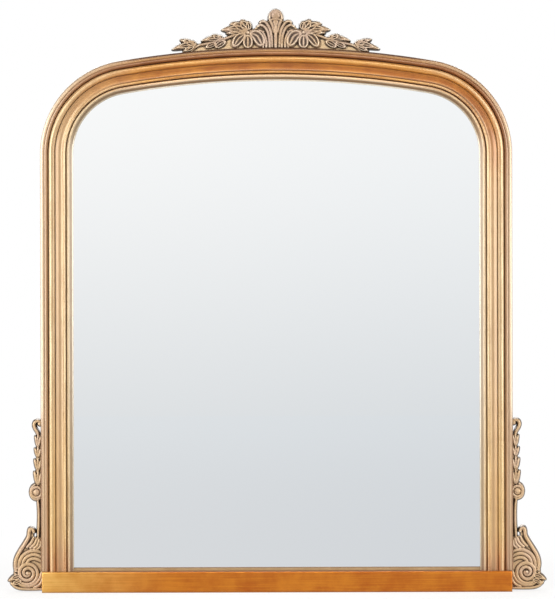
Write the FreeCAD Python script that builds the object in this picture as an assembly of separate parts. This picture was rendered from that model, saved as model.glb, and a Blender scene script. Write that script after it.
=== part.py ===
"""Arched overmantel wall mirror with a carved crest and side scrolls, in millimetres.

The front faces -Y and +Z is up. The origin is the middle of the base, half way through the depth.
Depths are measured forwards from the back plane of the frame.
"""
import FreeCAD, Part
import math
import os

V = FreeCAD.Vector

# Frame outline and moulding
frame_width = 800.0
frame_height = 921.0
crown_radius = 1600.0
shoulder_radius = 159.0
moulding_width = 56.0
face_depth = 19.0
rebate_width = 14.0
rebate_depth = 12.0

# Base rail
rail_height = 35.0
rail_depth = 40.0
rail_end_inset = 3.0
rail_top_radius = 2.5
rail_foot_radius = 4.0
rail_rebate_height = 9.0

# Loose tongues between the members of the frame
tongue_width = 26.0
tongue_thickness = 8.0
tongue_length = 40.0
tongue_clearance = 0.1
tongue_end_gap = 0.5

# Glass, its setting blocks and the backing board
glass_thickness = 4.0
glass_edge_gap = 1.5
block_length = 40.0
block_height = 3.0
board_thickness = 3.0
board_edge_gap = 2.0

# Retaining points, flat steel tabs driven into the wall of the rebate behind the board
point_length = 18.0
point_width = 9.0
point_metal = 0.8
point_grip = 8.0
point_clearance = 0.05

# Pan-head screws
head_radius = 3.4
head_height = 2.0
shank_radius = 1.75
screw_clearance = 0.1
screw_end_gap = 0.5
hanger_screw_length = 18.0

# Strap hangers, each with a swinging triangular ring
hanger_inset = 17.0
hanger_drop = 100.0
strap_width = 14.0
strap_length = 30.0
strap_metal = 2.0
ring_wire = 4.0
ring_bar = 20.0
ring_top = 9.0
ring_reach = 24.0
ring_bearing_clearance = 0.06
ring_rest_gap = 0.3

# Square pads that stand the frame off the wall
pad_size = 18.0
pad_height = 9.0
upper_pad_drop = 25.0
lower_pad_rise = 38.0

# Crest casting on the crown
crest_half_span = 174.0
crest_height = 66.0
crest_ground = 11.0

# Side scroll castings beside the stiles
scroll_width = 56.0
scroll_height = 291.0
scroll_ground = 11.0

# Keys glued across the edge of the frame, which hold the crest and the side scrolls
key_length = 16.0
key_width = 10.0
key_thickness = 5.0
key_clearance = 0.1
crest_key_offset = 60.0

# Gap filled by glue between a casting and the frame
glue_line = 0.2
# How far a cutting tool runs past the face that it opens
overrun = 1.0
# Flats that stand for each rounded stretch of the moulding
round_flats = 2

# Places worked out from the sizes above
half_width = frame_width / 2
rail_half = half_width - rail_end_inset
web_width = moulding_width - rebate_width
corner_x = half_width - shoulder_radius
crown_centre_z = frame_height - crown_radius
corner_z = crown_centre_z + math.sqrt((crown_radius - shoulder_radius) ** 2 - corner_x ** 2)
crown_angle = math.degrees(math.asin(corner_x / (crown_radius - shoulder_radius)))
shoulder_angle = 90 - crown_angle
stile_length = corner_z - rail_height
back_y = (rail_depth - pad_height) / 2
rebate_floor = rail_height - rail_rebate_height
glass_bottom = rebate_floor + block_height
board_back = rebate_depth - glass_thickness - board_thickness
wall_x = web_width - half_width

FORWARD = V(0, -1, 0)
TURN_AXIS = V(0, 1, 0)
CORNER = V(-corner_x, 0, corner_z)
CROWN_CENTRE = V(0, 0, crown_centre_z)


def at(x, depth, z):
    """The point at a depth in front of the frame's back plane."""
    return V(x, back_y - depth, z)


def draw(start, moves, place):
    """A face bounded by lines, given as (to,), and arcs, given as (via, to)."""
    edges = []
    here = place(start)
    for *via, to in moves:
        there = place(to)
        if via:
            edges.append(Part.Arc(here, place(via[0]), there).toShape())
        else:
            edges.append(Part.LineSegment(here, there).toShape())
        here = there
    return Part.Face(Part.Wire(edges))


def polygon(points, place):
    return draw(points[0], [(p,) for p in points[1:]] + [(points[0],)], place)


def solid_of(faces):
    shell = Part.makeShell(faces)
    shell.sewShape()
    return Part.makeSolid(shell)


def faceted(rings):
    """A solid with flat faces through rings of as many points each, closed by its first and last ring."""
    faces = [Part.Face(Part.makePolygon(ring + ring[:1])) for ring in (rings[0], rings[-1])]
    for low, high in zip(rings, rings[1:]):
        for a, b, c, d in zip(low, low[1:] + low[:1], high[1:] + high[:1], high):
            faces.append(Part.Face(Part.makePolygon([a, b, c, d, a])))
    return solid_of(faces)


def raised_pad(outline, top_share, height, rise):
    """A flat-bottomed pad: upright walls, then slopes up to a smaller copy of its outline."""
    centre = sum(outline[1:], outline[0]) * (1 / len(outline))
    rim = [p + FORWARD * height for p in outline]
    top = [centre + (p - centre) * top_share + FORWARD * (height + rise) for p in outline]
    return faceted([outline, rim, top])


def mirrored(shape):
    return shape.mirror(V(0, 0, 0), V(1, 0, 0))


def both_sides(shapes):
    return list(shapes) + [mirrored(s) for s in shapes]


def along_arch(shape, shoulder_turn, crown_turn=0.0):
    """Carries a shape made at the top of the left stile round the arch."""
    moved = shape.copy()
    moved.rotate(CORNER, TURN_AXIS, shoulder_turn)
    moved.rotate(CROWN_CENTRE, TURN_AXIS, crown_turn)
    return moved


def shifted(shape, x=0.0, y=0.0, z=0.0):
    moved = shape.copy()
    moved.translate(V(x, y, z))
    return moved


# Moulding section: outer band, quirk, high bead, quirk, cove, small bead, quirk, inner bead and lip.
# The shares are of the moulding's width, and of its relief in front of the glass seat.
moulding_shares = [
    ((0.00, 0.06),),
    ((0.03, 0.35), (0.12, 0.46)),
    ((0.236, 0.36),),
    ((0.256, 0.18),),
    ((0.268, 0.60),),
    ((0.30, 0.90), (0.365, 1.00)),
    ((0.425, 0.94), (0.454, 0.76)),
    ((0.467, 0.67),),
    ((0.48, 0.76),),
    ((0.594, 0.56), (0.70, 0.64)),
    ((0.74, 0.77), (0.775, 0.64)),
    ((0.79, 0.48),),
    ((0.855, 0.62), (0.905, 0.48)),
    ((1.00, 0.13),),
]


def moulding_face(z):
    """The moulding's section across the left stile at height z, its rounds worked as flats."""
    def place(share):
        return at(share[0] * moulding_width - half_width, rebate_depth + share[1] * face_depth, z)

    corners = []
    for *via, to in moulding_shares:
        if via:
            run = Part.Arc(corners[-1], place(via[0]), place(to)).toShape()
            corners += run.discretize(round_flats + 1)[1:]
        else:
            corners.append(place(to))
    corners += [
        at(moulding_width - half_width, rebate_depth, z),
        at(wall_x, rebate_depth, z),
        at(wall_x, 0, z),
        at(-half_width, 0, z),
    ]
    return Part.Face(Part.makePolygon(corners + corners[:1]))


def arch_plate(inset, bottom, back, thickness):
    """A plate of the frame's arched outline, inset from the outer edge, standing on a straight foot."""
    side = half_width - inset
    turn = math.radians(crown_angle)
    middle = math.radians(90 + crown_angle) / 2
    crown_r = crown_radius - inset
    shoulder_r = shoulder_radius - inset
    joint = (crown_r * math.sin(turn), crown_centre_z + crown_r * math.cos(turn))
    shoulder_mid = (corner_x + shoulder_r * math.sin(middle), corner_z + shoulder_r * math.cos(middle))
    moves = [
        ((side, bottom),),
        ((side, corner_z),),
        (shoulder_mid, joint),
        ((0, crown_centre_z + crown_r), (-joint[0], joint[1])),
        ((-shoulder_mid[0], shoulder_mid[1]), (-side, corner_z)),
        ((-side, bottom),),
    ]
    face = draw((-side, bottom), moves, lambda p: at(p[0], back, p[1]))
    return face.extrude(FORWARD * thickness)


# Loose tongues: one at each foot, one at each springing and one in the middle of the crown.
tongue_place_shares = (0.5, 0.72)


def tongue_at(z, spare=0.0, end_gap=0.0):
    """A tongue across a joint of the left stile, or with spare room the mortise that takes it."""
    width = tongue_width + 2 * spare
    thickness = tongue_thickness + 2 * spare
    length = tongue_length + 2 * end_gap
    x = tongue_place_shares[0] * web_width - half_width - width / 2
    front = tongue_place_shares[1] * rebate_depth + thickness / 2
    return Part.makeBox(width, thickness, length, at(x, front, z - length / 2))


def tongue_set(spare=0.0, end_gap=0.0):
    spring = tongue_at(corner_z, spare, end_gap)
    sides = both_sides([tongue_at(rail_height, spare, end_gap), spring])
    return sides + [along_arch(spring, shoulder_angle, crown_angle)]


tongues = tongue_set()
mortises = tongue_set(tongue_clearance, tongue_end_gap)

# Retaining points, made at the top of the left stile and carried to their places.
stile_point_shares = [0.12, 0.46, 0.80]
shoulder_point_share = 0.5
crown_point_share = 0.5
rail_point_shares = [0.3, 0.8]


def point_at_springing(spare=0.0):
    """A tab half driven into the rebate wall, or with spare room the slit that takes it."""
    width = point_width + 2 * spare
    metal = point_metal + 2 * spare
    x = wall_x - point_grip - spare
    return Part.makeBox(point_length + spare, metal, width, at(x, board_back + spare, corner_z - width / 2))


def point_places(shape):
    """Copies of a shape made at the top of the left stile, one at each retaining point."""
    left = [shifted(shape, z=-s * stile_length) for s in stile_point_shares]
    left.append(along_arch(shape, shoulder_point_share * shoulder_angle))
    left.append(along_arch(shape, shoulder_angle, crown_point_share * crown_angle))
    on_rail = shape.copy()
    on_rail.rotate(V(wall_x, 0, corner_z), TURN_AXIS, -90)
    left += [
        shifted(on_rail, x=-wall_x - s * (half_width - web_width), z=rebate_floor - corner_z)
        for s in rail_point_shares
    ]
    return both_sides(left)


points = point_places(point_at_springing())
slits = point_places(point_at_springing(point_clearance))


# Screws: a pan head behind the metal, and a plain shank.
def screw_at(length, x, z, metal):
    """A screw through metal on the back plane."""
    head = Part.makeCylinder(head_radius, head_height, at(x, -metal, z), TURN_AXIS)
    shank = Part.makeCylinder(shank_radius, length, at(x, -metal, z), FORWARD)
    return head.fuse(shank)


def hole_at(length, x, z, metal):
    """The hole of such a screw, through the metal and into what it holds."""
    reach = length + screw_end_gap + overrun
    return Part.makeCylinder(shank_radius + screw_clearance, reach, at(x, -metal - overrun, z), FORWARD)


# Keys: one in each end of the base rail, one in each stile behind the rosette, two under the crest.
rosette_shares = (0.15, 0.578)
scroll_key_places = [
    (rail_half, (rail_height - tongue_length / 2 - tongue_end_gap) / 2),
    (half_width, rosette_shares[1] * scroll_height),
]
crest_key_turn = math.degrees(math.asin(crest_key_offset / crown_radius))


def key_at(edge, z, ground, spare=0.0):
    """A key across a left edge of the frame, or with spare room the slot that takes it."""
    length = key_length + 2 * spare
    width = key_width + 2 * spare
    thickness = key_thickness + 2 * spare
    front = (ground + thickness) / 2
    return Part.makeBox(length, thickness, width, at(-edge - length / 2, front, z - width / 2))


def scroll_key_set(spare=0.0):
    return both_sides([key_at(edge, z, scroll_ground, spare) for edge, z in scroll_key_places])


def crest_key_set(spare=0.0):
    key = key_at(half_width, corner_z, crest_ground, spare)
    return both_sides([along_arch(key, shoulder_angle, crown_angle - crest_key_turn)])


key_slots = scroll_key_set(key_clearance) + crest_key_set(key_clearance)

# Strap hangers: a strap rolled round the straight bar of a ring.
ring_radius = ring_wire / 2
bearing_radius = ring_radius + ring_bearing_clearance
barrel_radius = bearing_radius + strap_metal
hanger_x = hanger_inset - half_width
hanger_z = corner_z - hanger_drop
ring_lean = math.degrees(math.asin((barrel_radius - ring_radius - ring_rest_gap) / ring_reach))
strap_screw_share = 0.53
strap_screw_z = hanger_z - strap_screw_share * strap_length
hanger_hole = hole_at(hanger_screw_length, hanger_x, strap_screw_z, strap_metal)
hanger_screw = screw_at(hanger_screw_length, hanger_x, strap_screw_z, strap_metal)


def make_strap():
    half = strap_width / 2
    strap = Part.makeBox(strap_width, strap_metal, strap_length, at(hanger_x - half, 0, hanger_z - strap_length))
    start = at(hanger_x - half, -barrel_radius, hanger_z)
    barrel = Part.makeCylinder(barrel_radius, strap_width, start, V(1, 0, 0))
    bore = Part.makeCylinder(bearing_radius, strap_width, start, V(1, 0, 0))
    return strap.fuse(barrel).cut([bore, hanger_hole]).removeSplitter()


def make_ring():
    """A triangular ring of round wire, standing on its bar and leaning on the back of the frame."""
    low = ring_bar / 2
    high = ring_top / 2
    corners = [V(-low, 0, 0), V(low, 0, 0), V(high, 0, ring_reach), V(-high, 0, ring_reach), V(-low, 0, 0)]
    wire = Part.Wire(Part.makeCircle(ring_radius, V(0, 0, 0), V(1, 0, 0)))
    mitred = 1
    ring = Part.makePolygon(corners).makePipeShell([wire], True, False, mitred)
    ring.rotate(V(0, 0, 0), V(1, 0, 0), ring_lean)
    ring.translate(at(hanger_x, -barrel_radius, hanger_z))
    return ring


def wall_pad_at(z):
    """A rubber pad on the back of the left stile."""
    return Part.makeBox(pad_size, pad_height, pad_size, at(hanger_x - pad_size / 2, 0, z - pad_size / 2))


# Frame members, with their mortises, slits, slots and pilot holes
frame_cuts = mortises + slits + key_slots + both_sides([hanger_hole])


def make_stile():
    return moulding_face(rail_height).extrude(V(0, 0, stile_length)).cut(frame_cuts)


def make_half_arch():
    """The left shoulder and the left half of the crown, in one run of the moulding."""
    shoulder = moulding_face(corner_z).revolve(CORNER, TURN_AXIS, shoulder_angle)
    crown_start = along_arch(moulding_face(corner_z), shoulder_angle)
    crown = crown_start.revolve(CROWN_CENTRE, TURN_AXIS, crown_angle)
    return shoulder.fuse(crown).removeSplitter().cut(frame_cuts)


def make_base_rail():
    """A plinth with eased front edges, rebated at the back for the foot of the glass."""
    ease_share = 1 - math.sqrt(0.5)
    foot_ease = ease_share * rail_foot_radius
    top_ease = ease_share * rail_top_radius
    moves = [
        ((rail_depth - rail_foot_radius, 0),),
        ((rail_depth - foot_ease, foot_ease), (rail_depth, rail_foot_radius)),
        ((rail_depth, rail_height - rail_top_radius),),
        ((rail_depth - top_ease, rail_height - top_ease), (rail_depth - rail_top_radius, rail_height)),
        ((0, rail_height),),
        ((0, 0),),
    ]
    bar = draw((0, 0), moves, lambda p: at(-rail_half, p[0], p[1])).extrude(V(2 * rail_half, 0, 0))
    pocket = Part.makeBox(
        2 * (half_width - web_width),
        rebate_depth + overrun,
        rail_rebate_height + overrun,
        at(wall_x, rebate_depth, rebate_floor),
    )
    return bar.cut([pocket] + frame_cuts)


# Castings: a flat ground with ridged ribs, leaf pads and bosses raised on it.
leaf_shares = [(0.0, 0.0), (0.26, 0.9), (0.68, 0.86), (1.0, 0.0)]
leaf_top_share = 0.35
boss_top_share = 0.45
boss_rise_share = 0.5
boss_sides = 12
rib_flat_angle = 22.5


def rib(first, via, last, half, ground):
    """A ridged rib along the arc through three points, as high above the ground as it is half wide."""
    start = at(first[0], 0, first[1])
    line = Part.Arc(start, at(via[0], 0, via[1]), at(last[0], 0, last[1])).toShape()
    centre = line.Curve.Center
    sweep = math.degrees(line.LastParameter - line.FirstParameter)
    section = [(-half, 0), (half, 0), (half, ground), (0, ground + half), (-half, ground)]
    rings = []
    for point in line.discretize(1 + math.ceil(sweep / rib_flat_angle)):
        out = (point - centre).normalize()
        rings.append([point + out * u + FORWARD * depth for u, depth in section])
    return faceted(rings)


def leaf(first, last, half, ground):
    """A leaf lobe: a pointed pad with sloping sides."""
    start = at(first[0], 0, first[1])
    run = at(last[0], 0, last[1]) - start
    across = V(run).cross(FORWARD).normalize() * half
    outline = leaf_shares + [(u, -w) for u, w in reversed(leaf_shares[1:-1])]
    return raised_pad([start + run * u + across * w for u, w in outline], leaf_top_share, ground, half)


def boss(centre, radius, ground):
    """A round pad with sloping sides."""
    turns = [2 * math.pi * i / boss_sides for i in range(boss_sides)]
    outline = [at(centre[0] + radius * math.cos(t), 0, centre[1] + radius * math.sin(t)) for t in turns]
    return raised_pad(outline, boss_top_share, ground, boss_rise_share * radius)


# Crest places: x is a share of the half span, z a share of the height above the crown. Half widths are
# shares of the height.
crest_leaf_shares = [
    ((0.30, 0.36), (0.52, 0.48), 0.100),
    ((0.29, 0.36), (0.43, 0.63), 0.095),
    ((0.28, 0.36), (0.33, 0.70), 0.120),
    ((0.30, 0.40), (0.40, 0.02), 0.105),
    ((0.285, 0.42), (0.275, 0.01), 0.115),
    ((0.275, 0.40), (0.14, 0.10), 0.130),
    ((0.53, 0.13), (0.62, 0.32), 0.060),
    ((0.55, 0.12), (0.73, 0.20), 0.055),
    ((0.51, 0.20), (0.56, -0.02), 0.060),
    ((0.57, 0.17), (0.68, -0.02), 0.055),
    ((0.77, 0.05), (1.00, -0.03), 0.060),
    ((0.77, 0.03), (0.91, 0.20), 0.060),
    ((0.77, 0.06), (0.90, -0.09), 0.050),
    ((0.05, -0.10), (0.12, 0.71), 0.070),
    ((0.09, -0.10), (0.175, 0.62), 0.070),
    ((0.10, 0.18), (0.215, 0.47), 0.065),
    ((0.02, 0.40), (0.072, 0.86), 0.075),
]
crest_rib_shares = [
    ((0.29, 0.40), (0.42, 0.26), (0.56, 0.14), 0.040),
    ((0.56, 0.14), (0.68, 0.095), (0.80, 0.04), 0.036),
]
crest_heart_shares = (0.29, 0.40, 0.075)
crest_spine_shares = ((0.0, -0.12), (0.0, 0.88), 0.085)
crest_knob_shares = (0.0, 0.85, 0.15)
crest_ground_shares = [(0.82, -0.25), (0.82, 0.0), (0.55, 0.12), (0.29, 0.38), (0.16, 0.48), (0.05, 0.72)]


def crest_at(share):
    return (share[0] * crest_half_span, frame_height + share[1] * crest_height)


def make_crest():
    """Palmette, leaf sprays and their ground, seated on the top of the crown."""
    ground = crest_ground
    tall = crest_height
    half = [leaf(crest_at(a), crest_at(b), w * tall, ground) for a, b, w in crest_leaf_shares]
    half += [rib(crest_at(a), crest_at(b), crest_at(c), w * tall, ground) for a, b, c, w in crest_rib_shares]
    half.append(boss(crest_at(crest_heart_shares), crest_heart_shares[2] * tall, ground))
    foot, tip, spine_half = crest_spine_shares
    middle = [
        leaf(crest_at(foot), crest_at(tip), spine_half * tall, ground),
        boss(crest_at(crest_knob_shares), crest_knob_shares[2] * tall, ground),
    ]
    edge = [crest_at(s) for s in crest_ground_shares]
    around = edge + [(-x, z) for x, z in reversed(edge)]
    panel = polygon(around, lambda p: at(p[0], 0, p[1])).extrude(FORWARD * ground)
    body = panel.fuse(both_sides(half) + middle).removeSplitter()
    seat = Part.makeCylinder(
        crown_radius + glue_line, rail_depth + 2 * overrun, at(0, -overrun, crown_centre_z), FORWARD
    )
    return body.cut([seat] + key_slots)


# Scroll places: x is a share of the width out from the stile, z a share of the height. Half widths and
# radii are shares of the width.
scroll_rib_shares = [
    ((0.855, 0.14), (0.78, 0.21), (0.58, 0.272), 0.050),
    ((0.58, 0.272), (0.47, 0.308), (0.41, 0.345), 0.045),
    ((0.41, 0.345), (0.31, 0.366), (0.21, 0.34), 0.042),
    ((0.855, 0.14), (0.80, 0.07), (0.58, 0.03), 0.050),
    ((0.58, 0.03), (0.30, 0.016), (0.00, 0.026), 0.048),
    ((0.74, 0.19), (0.42, 0.235), (0.00, 0.20), 0.042),
    ((0.08, 0.29), (0.045, 0.42), (0.12, 0.55), 0.048),
    ((0.00, 0.972), (0.12, 0.988), (0.225, 0.972), 0.040),
    ((0.225, 0.972), (0.20, 0.945), (0.07, 0.90), 0.038),
]
scroll_leaf_shares = [
    ((0.56, 0.075), (1.00, 0.062), 0.110),
    ((0.56, 0.050), (0.90, 0.034), 0.080),
    ((0.36, 0.24), (0.22, 0.325), 0.075),
    ((0.18, 0.23), (0.14, 0.315), 0.060),
]
scroll_husk_shares = [
    (0.08, 0.912, 0.845, 0.085),
    (0.09, 0.850, 0.780, 0.105),
    (0.10, 0.786, 0.702, 0.115),
    (0.11, 0.710, 0.610, 0.125),
]
scroll_foot_shares = [
    (-0.07, 0.012), (0.58, 0.02), (0.80, 0.07), (0.855, 0.14), (0.76, 0.215), (0.58, 0.272), (0.41, 0.34),
    (0.34, 0.30), (-0.07, 0.31),
]
scroll_neck_shares = [(0.0, 0.59), (0.14, 0.59), (0.08, 0.91), (0.0, 0.91)]
volute_eye_shares = (0.42, 0.108)
volute_radius_shares = [0.10, 0.18, 0.26, 0.34]
volute_width_share = 0.05
rosette_radius_share = 0.20
rosette_eye_share = 0.075


def scroll_at(share):
    return (-(half_width + glue_line) - share[0] * scroll_width, share[1] * scroll_height)


def make_volute(ground):
    """Half turns of growing radius, each centred so that it carries on from the last."""
    eye_x, eye_z = scroll_at(volute_eye_shares)
    half = volute_width_share * scroll_width
    turns = []
    start_x = eye_x - volute_radius_shares[0] * scroll_width
    side = 1
    for share in volute_radius_shares:
        radius = share * scroll_width
        centre_x = start_x + side * radius
        end_x = centre_x + side * radius
        turns.append(rib((start_x, eye_z), (centre_x, eye_z + side * radius), (end_x, eye_z), half, ground))
        start_x = end_x
        side = -side
    return turns


def make_rosette(ground):
    centre = scroll_at(rosette_shares)
    radius = rosette_radius_share * scroll_width
    eye_ground = ground + boss_rise_share * radius
    return [boss(centre, radius, ground), boss(centre, rosette_eye_share * scroll_width, eye_ground)]


def make_husk(x_share, top_share, tip_share, half_share, ground):
    """A bellflower: two petals gathered to a point below."""
    tip = scroll_at((x_share, tip_share))
    top = scroll_at((x_share, top_share))
    half = half_share * scroll_width
    return [leaf((tip[0] + side * half / 2, top[1]), tip, half / 2, ground) for side in (-1, 1)]


def room_beside(edge, bottom):
    """Room that the frame takes inside a left edge, from a height upwards."""
    corner = at(-edge - glue_line, rail_depth, bottom)
    return Part.makeBox(edge, rail_depth + 2 * overrun, 2 * scroll_height, corner)


def make_scroll():
    """Volute foot, stem, rosette, bellflower drop and end curl, beside the left stile."""
    ground = scroll_ground
    width = scroll_width
    solids = [
        rib(scroll_at(a), scroll_at(b), scroll_at(c), w * width, ground) for a, b, c, w in scroll_rib_shares
    ]
    solids += [leaf(scroll_at(a), scroll_at(b), w * width, ground) for a, b, w in scroll_leaf_shares]
    solids += make_volute(ground) + make_rosette(ground)
    for x_share, top_share, tip_share, half_share in scroll_husk_shares:
        solids += make_husk(x_share, top_share, tip_share, half_share, ground)
    neck = polygon([scroll_at(s) for s in scroll_neck_shares], lambda p: at(p[0], 0, p[1]))
    solids.append(neck.extrude(FORWARD * ground))
    foot = polygon([scroll_at(s) for s in scroll_foot_shares], lambda p: at(p[0], 0, p[1]))
    body = foot.extrude(FORWARD * ground).fuse(solids).removeSplitter()
    beside_stile = room_beside(half_width, rail_height - glue_line)
    beside_rail = room_beside(rail_half, -scroll_height)
    return body.cut([beside_stile, beside_rail] + key_slots)


block_place_share = 0.5


def make_block():
    """A setting block under the foot of the glass and the board."""
    thickness = glass_thickness + board_thickness
    x = -block_place_share * half_width - block_length / 2
    return Part.makeBox(block_length, thickness, block_height, at(x, rebate_depth, rebate_floor))


stile_left = make_stile()
arch_left = make_half_arch()
scroll_left = make_scroll()
strap_left = make_strap()
ring_left = make_ring()
wall_pads = [wall_pad_at(corner_z - upper_pad_drop), wall_pad_at(rail_height + lower_pad_rise)]

nodes = {
    "stile_left": stile_left,
    "stile_right": mirrored(stile_left),
    "arch_left": arch_left,
    "arch_right": mirrored(arch_left),
    "base_rail": make_base_rail(),
    "joint_tongues": Part.makeCompound(tongues),
    "mirror_glass": arch_plate(
        web_width + glass_edge_gap, glass_bottom, rebate_depth - glass_thickness, glass_thickness
    ),
    "glass_setting_blocks": Part.makeCompound(both_sides([make_block()])),
    "backing_board": arch_plate(web_width + board_edge_gap, glass_bottom, board_back, board_thickness),
    "retaining_points": Part.makeCompound(points),
    "crest_ornament": make_crest(),
    "crest_keys": Part.makeCompound(crest_key_set()),
    "side_scroll_left": scroll_left,
    "side_scroll_right": mirrored(scroll_left),
    "scroll_keys": Part.makeCompound(scroll_key_set()),
    "hanger_strap_left": strap_left,
    "hanger_strap_right": mirrored(strap_left),
    "hanger_ring_left": ring_left,
    "hanger_ring_right": mirrored(ring_left),
    "hanger_screws": Part.makeCompound(both_sides([hanger_screw])),
    "wall_pads": Part.makeCompound(both_sides(wall_pads)),
}

os.makedirs("parts", exist_ok=True)
for name, shape in nodes.items():
    shape.exportStep(f"parts/{name}.step")
    print(f"{name}: {len(shape.Solids)} solids, valid {shape.isValid()}, volume {shape.Volume:.0f}")
print(f"springing line {corner_z:.2f}, crown half angle {crown_angle:.3f}, ring lean {ring_lean:.3f}")
print(f"hanger axis x {hanger_x:.2f}, depth {-barrel_radius:.2f}, z {hanger_z:.2f}, back plane y {back_y:.2f}")
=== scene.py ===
# %% [markdown]
# # An arched gilt mirror
# This lesson dresses the solid model of an overmantel mirror: a moulded wood frame with a three-centred
# arch, a plinth across its foot, a cast crest on its crown and a cast scroll beside each foot. The solid
# model is loaded first and never moved. Each step then makes one piece or one finish around it. Lengths are
# in metres, the mirror faces -Y and stands on z = 0.

# %% Load the model
import math

import bmesh
import bpy
from mathutils import Matrix, Vector
from mathutils.geometry import interpolate_bezier


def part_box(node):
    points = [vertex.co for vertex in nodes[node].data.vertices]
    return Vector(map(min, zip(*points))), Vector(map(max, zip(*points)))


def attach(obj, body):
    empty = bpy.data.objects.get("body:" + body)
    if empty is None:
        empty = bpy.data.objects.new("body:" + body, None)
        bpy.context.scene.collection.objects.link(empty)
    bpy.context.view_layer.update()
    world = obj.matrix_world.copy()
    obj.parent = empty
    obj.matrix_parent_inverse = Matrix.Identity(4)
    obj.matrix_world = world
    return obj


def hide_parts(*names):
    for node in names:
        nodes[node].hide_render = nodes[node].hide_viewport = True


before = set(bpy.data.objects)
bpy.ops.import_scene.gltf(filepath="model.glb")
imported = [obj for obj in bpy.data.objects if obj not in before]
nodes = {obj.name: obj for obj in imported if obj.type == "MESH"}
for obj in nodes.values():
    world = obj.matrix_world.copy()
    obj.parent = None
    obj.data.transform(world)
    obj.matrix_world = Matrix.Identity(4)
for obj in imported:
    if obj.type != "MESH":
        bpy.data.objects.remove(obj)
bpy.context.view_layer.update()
root_body = "mirror"

# %% [markdown]
# ## From bmesh to piece
# Every new piece goes the same way: a bmesh is shaped with operators, its normals are turned outwards, and
# it becomes an object that rides on one body of the model. Smooth shading with a limit angle keeps the
# rounds soft and the arrises sharp, so there is no need to split edges by hand.

# %% Make a piece
def make_piece(bm, name, replaced=(), body=root_body, sharp_degrees=40):
    bmesh.ops.recalc_face_normals(bm, faces=bm.faces[:])
    for face in bm.faces:
        face.smooth = True
    mesh = bpy.data.meshes.new(name)
    bm.to_mesh(mesh)
    bm.free()
    mesh.set_sharp_from_angle(angle=math.radians(sharp_degrees))
    piece = bpy.data.objects.new(name, mesh)
    bpy.context.scene.collection.objects.link(piece)
    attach(piece, body)
    if replaced:
        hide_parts(*replaced)
    print("made", name, "with", len(mesh.polygons), "faces")
    return piece


def mirrored_copy(piece, name, replaced=(), body=root_body):
    """The same mesh on the other side of the middle plane."""
    bm = bmesh.new()
    bm.from_mesh(piece.data)
    bmesh.ops.scale(bm, vec=(-1, 1, 1), verts=bm.verts[:])
    bmesh.ops.reverse_faces(bm, faces=bm.faces[:])
    return make_piece(bm, name, replaced, body)


# %% [markdown]
# ## The section of the moulding
# On the real frame one length of moulding runs up the side and round the arch. Reading from the outer edge,
# its section is a rounded band, a deep quirk, a high bead, a quirk, a cove, a small bead, a quirk, an inner
# bead and a lip. It could be drawn as a curve with a bevel object, but a loop of vertices that is extruded
# and spun keeps the section exact and carries values with it.

# %% Draw the section
stile_low, stile_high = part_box("stile_left")
outer_x = stile_low.x
back_y = stile_high.y
rail_top_z = stile_low.z
springing_z = stile_high.z
moulding_width = stile_high.x - stile_low.x
glass_front = back_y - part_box("mirror_glass")[0].y
relief = stile_high.y - stile_low.y - glass_front
rebate_wall = 0.042

section_shares = [
    ((0.00, 0.06),),
    ((0.018, 0.36), (0.105, 0.46)),
    ((0.122, 0.455),),
    ((0.130, 0.415),),
    ((0.139, 0.44),),
    ((0.190, 0.47), (0.236, 0.36)),
    ((0.245, 0.20),),
    ((0.263, 0.20),),
    ((0.268, 0.58),),
    ((0.298, 0.90), (0.366, 1.00)),
    ((0.428, 0.94), (0.456, 0.76)),
    ((0.460, 0.67),),
    ((0.474, 0.67),),
    ((0.480, 0.76),),
    ((0.594, 0.55), (0.70, 0.64)),
    ((0.705, 0.70),),
    ((0.742, 0.79), (0.775, 0.66)),
    ((0.782, 0.49),),
    ((0.800, 0.49),),
    ((0.806, 0.55),),
    ((0.856, 0.63), (0.905, 0.49)),
    ((0.962, 0.37), (1.00, 0.13)),
]
run_steps = 9


def section_point(share):
    return Vector((share[0] * moulding_width, glass_front + share[1] * relief))


def section_points():
    """The front of the section as points (across, depth), its rounds worked as smooth curves."""
    points = []
    for *via, to in section_shares:
        end = section_point(to)
        if not points:
            points.append(end)
            continue
        start = points[-1]
        middle = section_point(via[0]) if via else (start + end) / 2
        pull = middle * 2 - (start + end) / 2
        for step in range(1, run_steps + 1):
            t = step / run_steps
            points.append(start * (1 - t) ** 2 + pull * (2 * t * (1 - t)) + end * t ** 2)
    return points


front_points = section_points()
back_points = [(moulding_width, glass_front), (rebate_wall, glass_front), (rebate_wall, 0.0), (0.0, 0.0)]
outline = front_points + [Vector(p) for p in back_points]
print("section has", len(outline), "points")
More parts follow.
